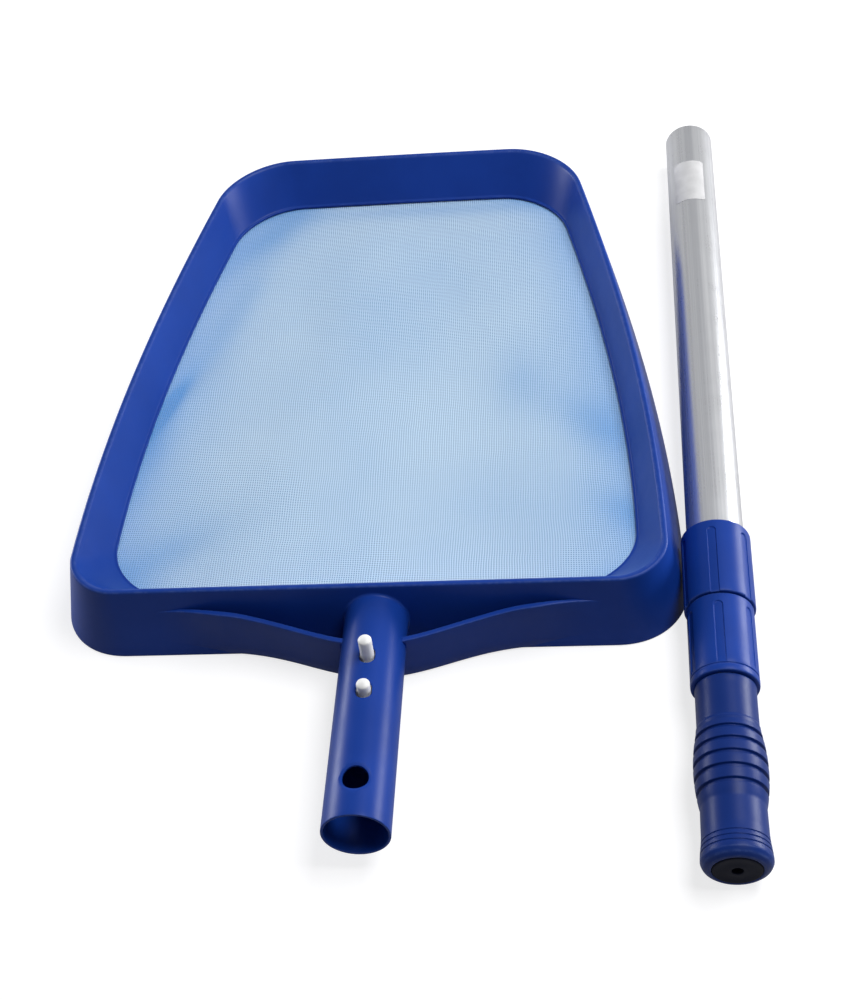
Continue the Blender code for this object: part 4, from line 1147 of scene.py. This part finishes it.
def makeLabel():
    radius, r, length = pole["outerTube"] / 2, label["corner"], label["length"]
    low, high = radians(label["turnStart"]), radians(label["turnEnd"])
    wide = (high - low) * radius
    skin, borders = Skin(), []
    for lift in (label["thickness"], label["under"]):
        rings = []
        for i in range(label["rows"] + 1):
            y = length * i / label["rows"]
            near = min(y, length - y)
            inset = r - sqrt(max(r * r - (r - near) ** 2, 0.0)) if near < r else 0.0
            ring = []
            for j in range(label["columns"] + 1):
                x = inset + (wide - 2 * inset) * j / label["columns"]
                a = low + x / radius
                corner = max(0.0, 1 - hypot(min(x, wide - x), near) / label["curlReach"])
                curl = label["curl"] * corner ** 2 * (1 if x < wide / 2 else 0.4)
                out = radius + lift + curl
                ring.append((out * cos(a), out * sin(a), label["from"] + y))
            rings.append(skin.ring(ring))
        skin.join(rings, False, False)
        borders.append([row[0] for row in rings] + rings[-1][1:]
                       + [row[-1] for row in rings[-2::-1]] + rings[0][-2:0:-1])
    skin.join(borders)
    piece = link("paperLabel", skin.mesh("labelSkin", 50), paperFinish())
    return seat(piece, polePlace, "pole_outer", "white_nylon")


# The room: a pale floor, soft lamps and the camera

room = {
    "floor": colour(0.38, 0.38, 0.39),
    "floorGlow": 0.75,  # what the floor adds where the camera or a reflection meets it
    "floorGloss": 0.28,  # the share of it that reflections see
    "floorSize": 16.0,
    "floorHeight": -0.0002,
    "sky": 0.13,
    "skyTint": colour(0.95, 0.97, 1.0),
    "skySeen": 1.0,
    "skyGloss": 0.5,
    "cameraPlace": (0.09677, -0.58707, 0.6327),
    "heading": -9.117,
    "pitch": 47.963,
    "roll": -8.663,
    "lens": 57.6,
}
lamps = {  # place, aim, width, height, power, colour
    "topSoftbox": ((0.60, 0.04, 1.38), (0.0, 0.02, 0.0), 0.9, 0.6, 17.5, (1.0, 1.0, 1.0)),
    "leftBackSoftbox": ((-1.05, 0.48, 0.18), (-0.05, 0.0, 0.05), 0.55, 0.34, 10.0,
                        (0.97, 0.98, 1.0)),
    "rightBackSoftbox": ((1.05, 0.42, 0.20), (0.10, -0.04, 0.05), 0.50, 0.34, 9.5,
                         (1.0, 1.0, 1.0)),
}


def seenMask(tree, glossy):
    path = tree.node("ShaderNodeLightPath", None, None, "Is Camera Ray")
    seen = path + path.out("Is Glossy Ray") * glossy + path.out("Is Transmission Ray")
    return seen.clamp()


def makeFloor():
    bpy.ops.mesh.primitive_plane_add(size=room["floorSize"], location=(0, 0, room["floorHeight"]))
    floor = bpy.context.object
    floor.name = "floor"
    f = Finish("studioFloor", Base_Color=room["floor"], Roughness=0.9, Specular_IOR_Level=0.1)
    none, glow = (f.node("ShaderNodeEmission", None, {"Strength": strength})
                  for strength in (0.0, room["floorGlow"]))
    mask = seenMask(f, room["floorGloss"])
    extra = f.node("ShaderNodeMixShader", None, {0: mask, 1: none, 2: glow})
    both = f.node("ShaderNodeAddShader", None, {0: Value(f, f.shader.outputs[0]), 1: extra})
    f.feed(f.tree.nodes["Material Output"].inputs["Surface"], both)
    floor.data.materials.append(f.material)


def makeWorld():
    world = bpy.data.worlds.new("studio")
    scene.world = world
    world.use_nodes = True
    tree = Tree(world.node_tree)
    world.node_tree.nodes.clear()
    plain, seen = (
        tree.node("ShaderNodeBackground", None, {"Color": tint, "Strength": strength})
        for tint, strength in ((room["skyTint"], room["sky"]), (colour(1, 1, 1), room["skySeen"])))
    mask = seenMask(tree, room["skyGloss"])
    both = tree.node("ShaderNodeMixShader", None, {0: mask, 1: plain, 2: seen})
    end = world.node_tree.nodes.new("ShaderNodeOutputWorld")
    tree.feed(end.inputs["Surface"], both)


def makeLamps():
    for name, (place, aim, width, height, power, tint) in lamps.items():
        data = bpy.data.lights.new(name, "AREA")
        data.shape = "RECTANGLE"
        data.size, data.size_y = width, height
        data.energy = power
        data.color = tint
        lamp = bpy.data.objects.new(name, data)
        lamp.location = place
        lamp.rotation_euler = (Vector(aim) - Vector(place)).to_track_quat("-Z", "Y").to_euler()
        scene.collection.objects.link(lamp)


def makeCamera():
    heading, pitch, roll = (radians(room[k]) for k in ("heading", "pitch", "roll"))
    forward = Vector((sin(heading) * cos(pitch), cos(heading) * cos(pitch), -sin(pitch)))
    flat = Vector((cos(heading), -sin(heading), 0.0))
    above = flat.cross(forward)
    right = flat * cos(roll) + above * sin(roll)
    up = above * cos(roll) - flat * sin(roll)
    data = bpy.data.cameras.new("photoCamera")
    data.lens = room["lens"]
    data.clip_start = 0.01
    camera = bpy.data.objects.new("photoCamera", data)
    camera.matrix_world = Matrix.Translation(room["cameraPlace"]) @ Matrix(
        (right, up, -forward)).transposed().to_4x4()
    scene.collection.objects.link(camera)
    scene.camera = camera


makeCamera()
makeWorld()
makeLamps()
makeFloor()
print("room, lamps and camera made")

headBlue = bluePlastic("headBlue")
poleBlue = bluePlastic("poleBlue", radians(90 + pole["turn"]))
# painted shade: the grip's blue is the pole's blue darkened to six tenths
gripBlue = bluePlastic("gripBlue", radians(90 + pole["turn"]), 0.6)
metal = drawnAluminium("drawnTube")
nylon, greyCap, guideGrey = (mattPlastic(name, *look) for name, look in mattLooks.items())
print("finishes made")

makeFrame(headBlue)
makeNet()
makeClip(nylon)
print("head made")

makeOuterTube(metal)
slots, grooves = slotTree(), grooveTree()
makeCollar("collarFirst", 1, slots, poleBlue)
makeCollar("collarSecond", 2, slots, poleBlue)
makeGrip(grooves, gripBlue)
makeEndCap(greyCap)
makeLabel()
print("pole made")

carried = {
    "clip_base": nylon, "middle_tube": metal, "inner_tube": metal, "lock_sleeve_1": poleBlue,
    "lock_sleeve_2": poleBlue, "middle_tube_guide": guideGrey, "inner_tube_guide": guideGrey,
}
for name, finish in carried.items():
    nodes[name].data.materials.clear()
    nodes[name].data.materials.append(finish)

scene.view_settings.view_transform = "Standard"
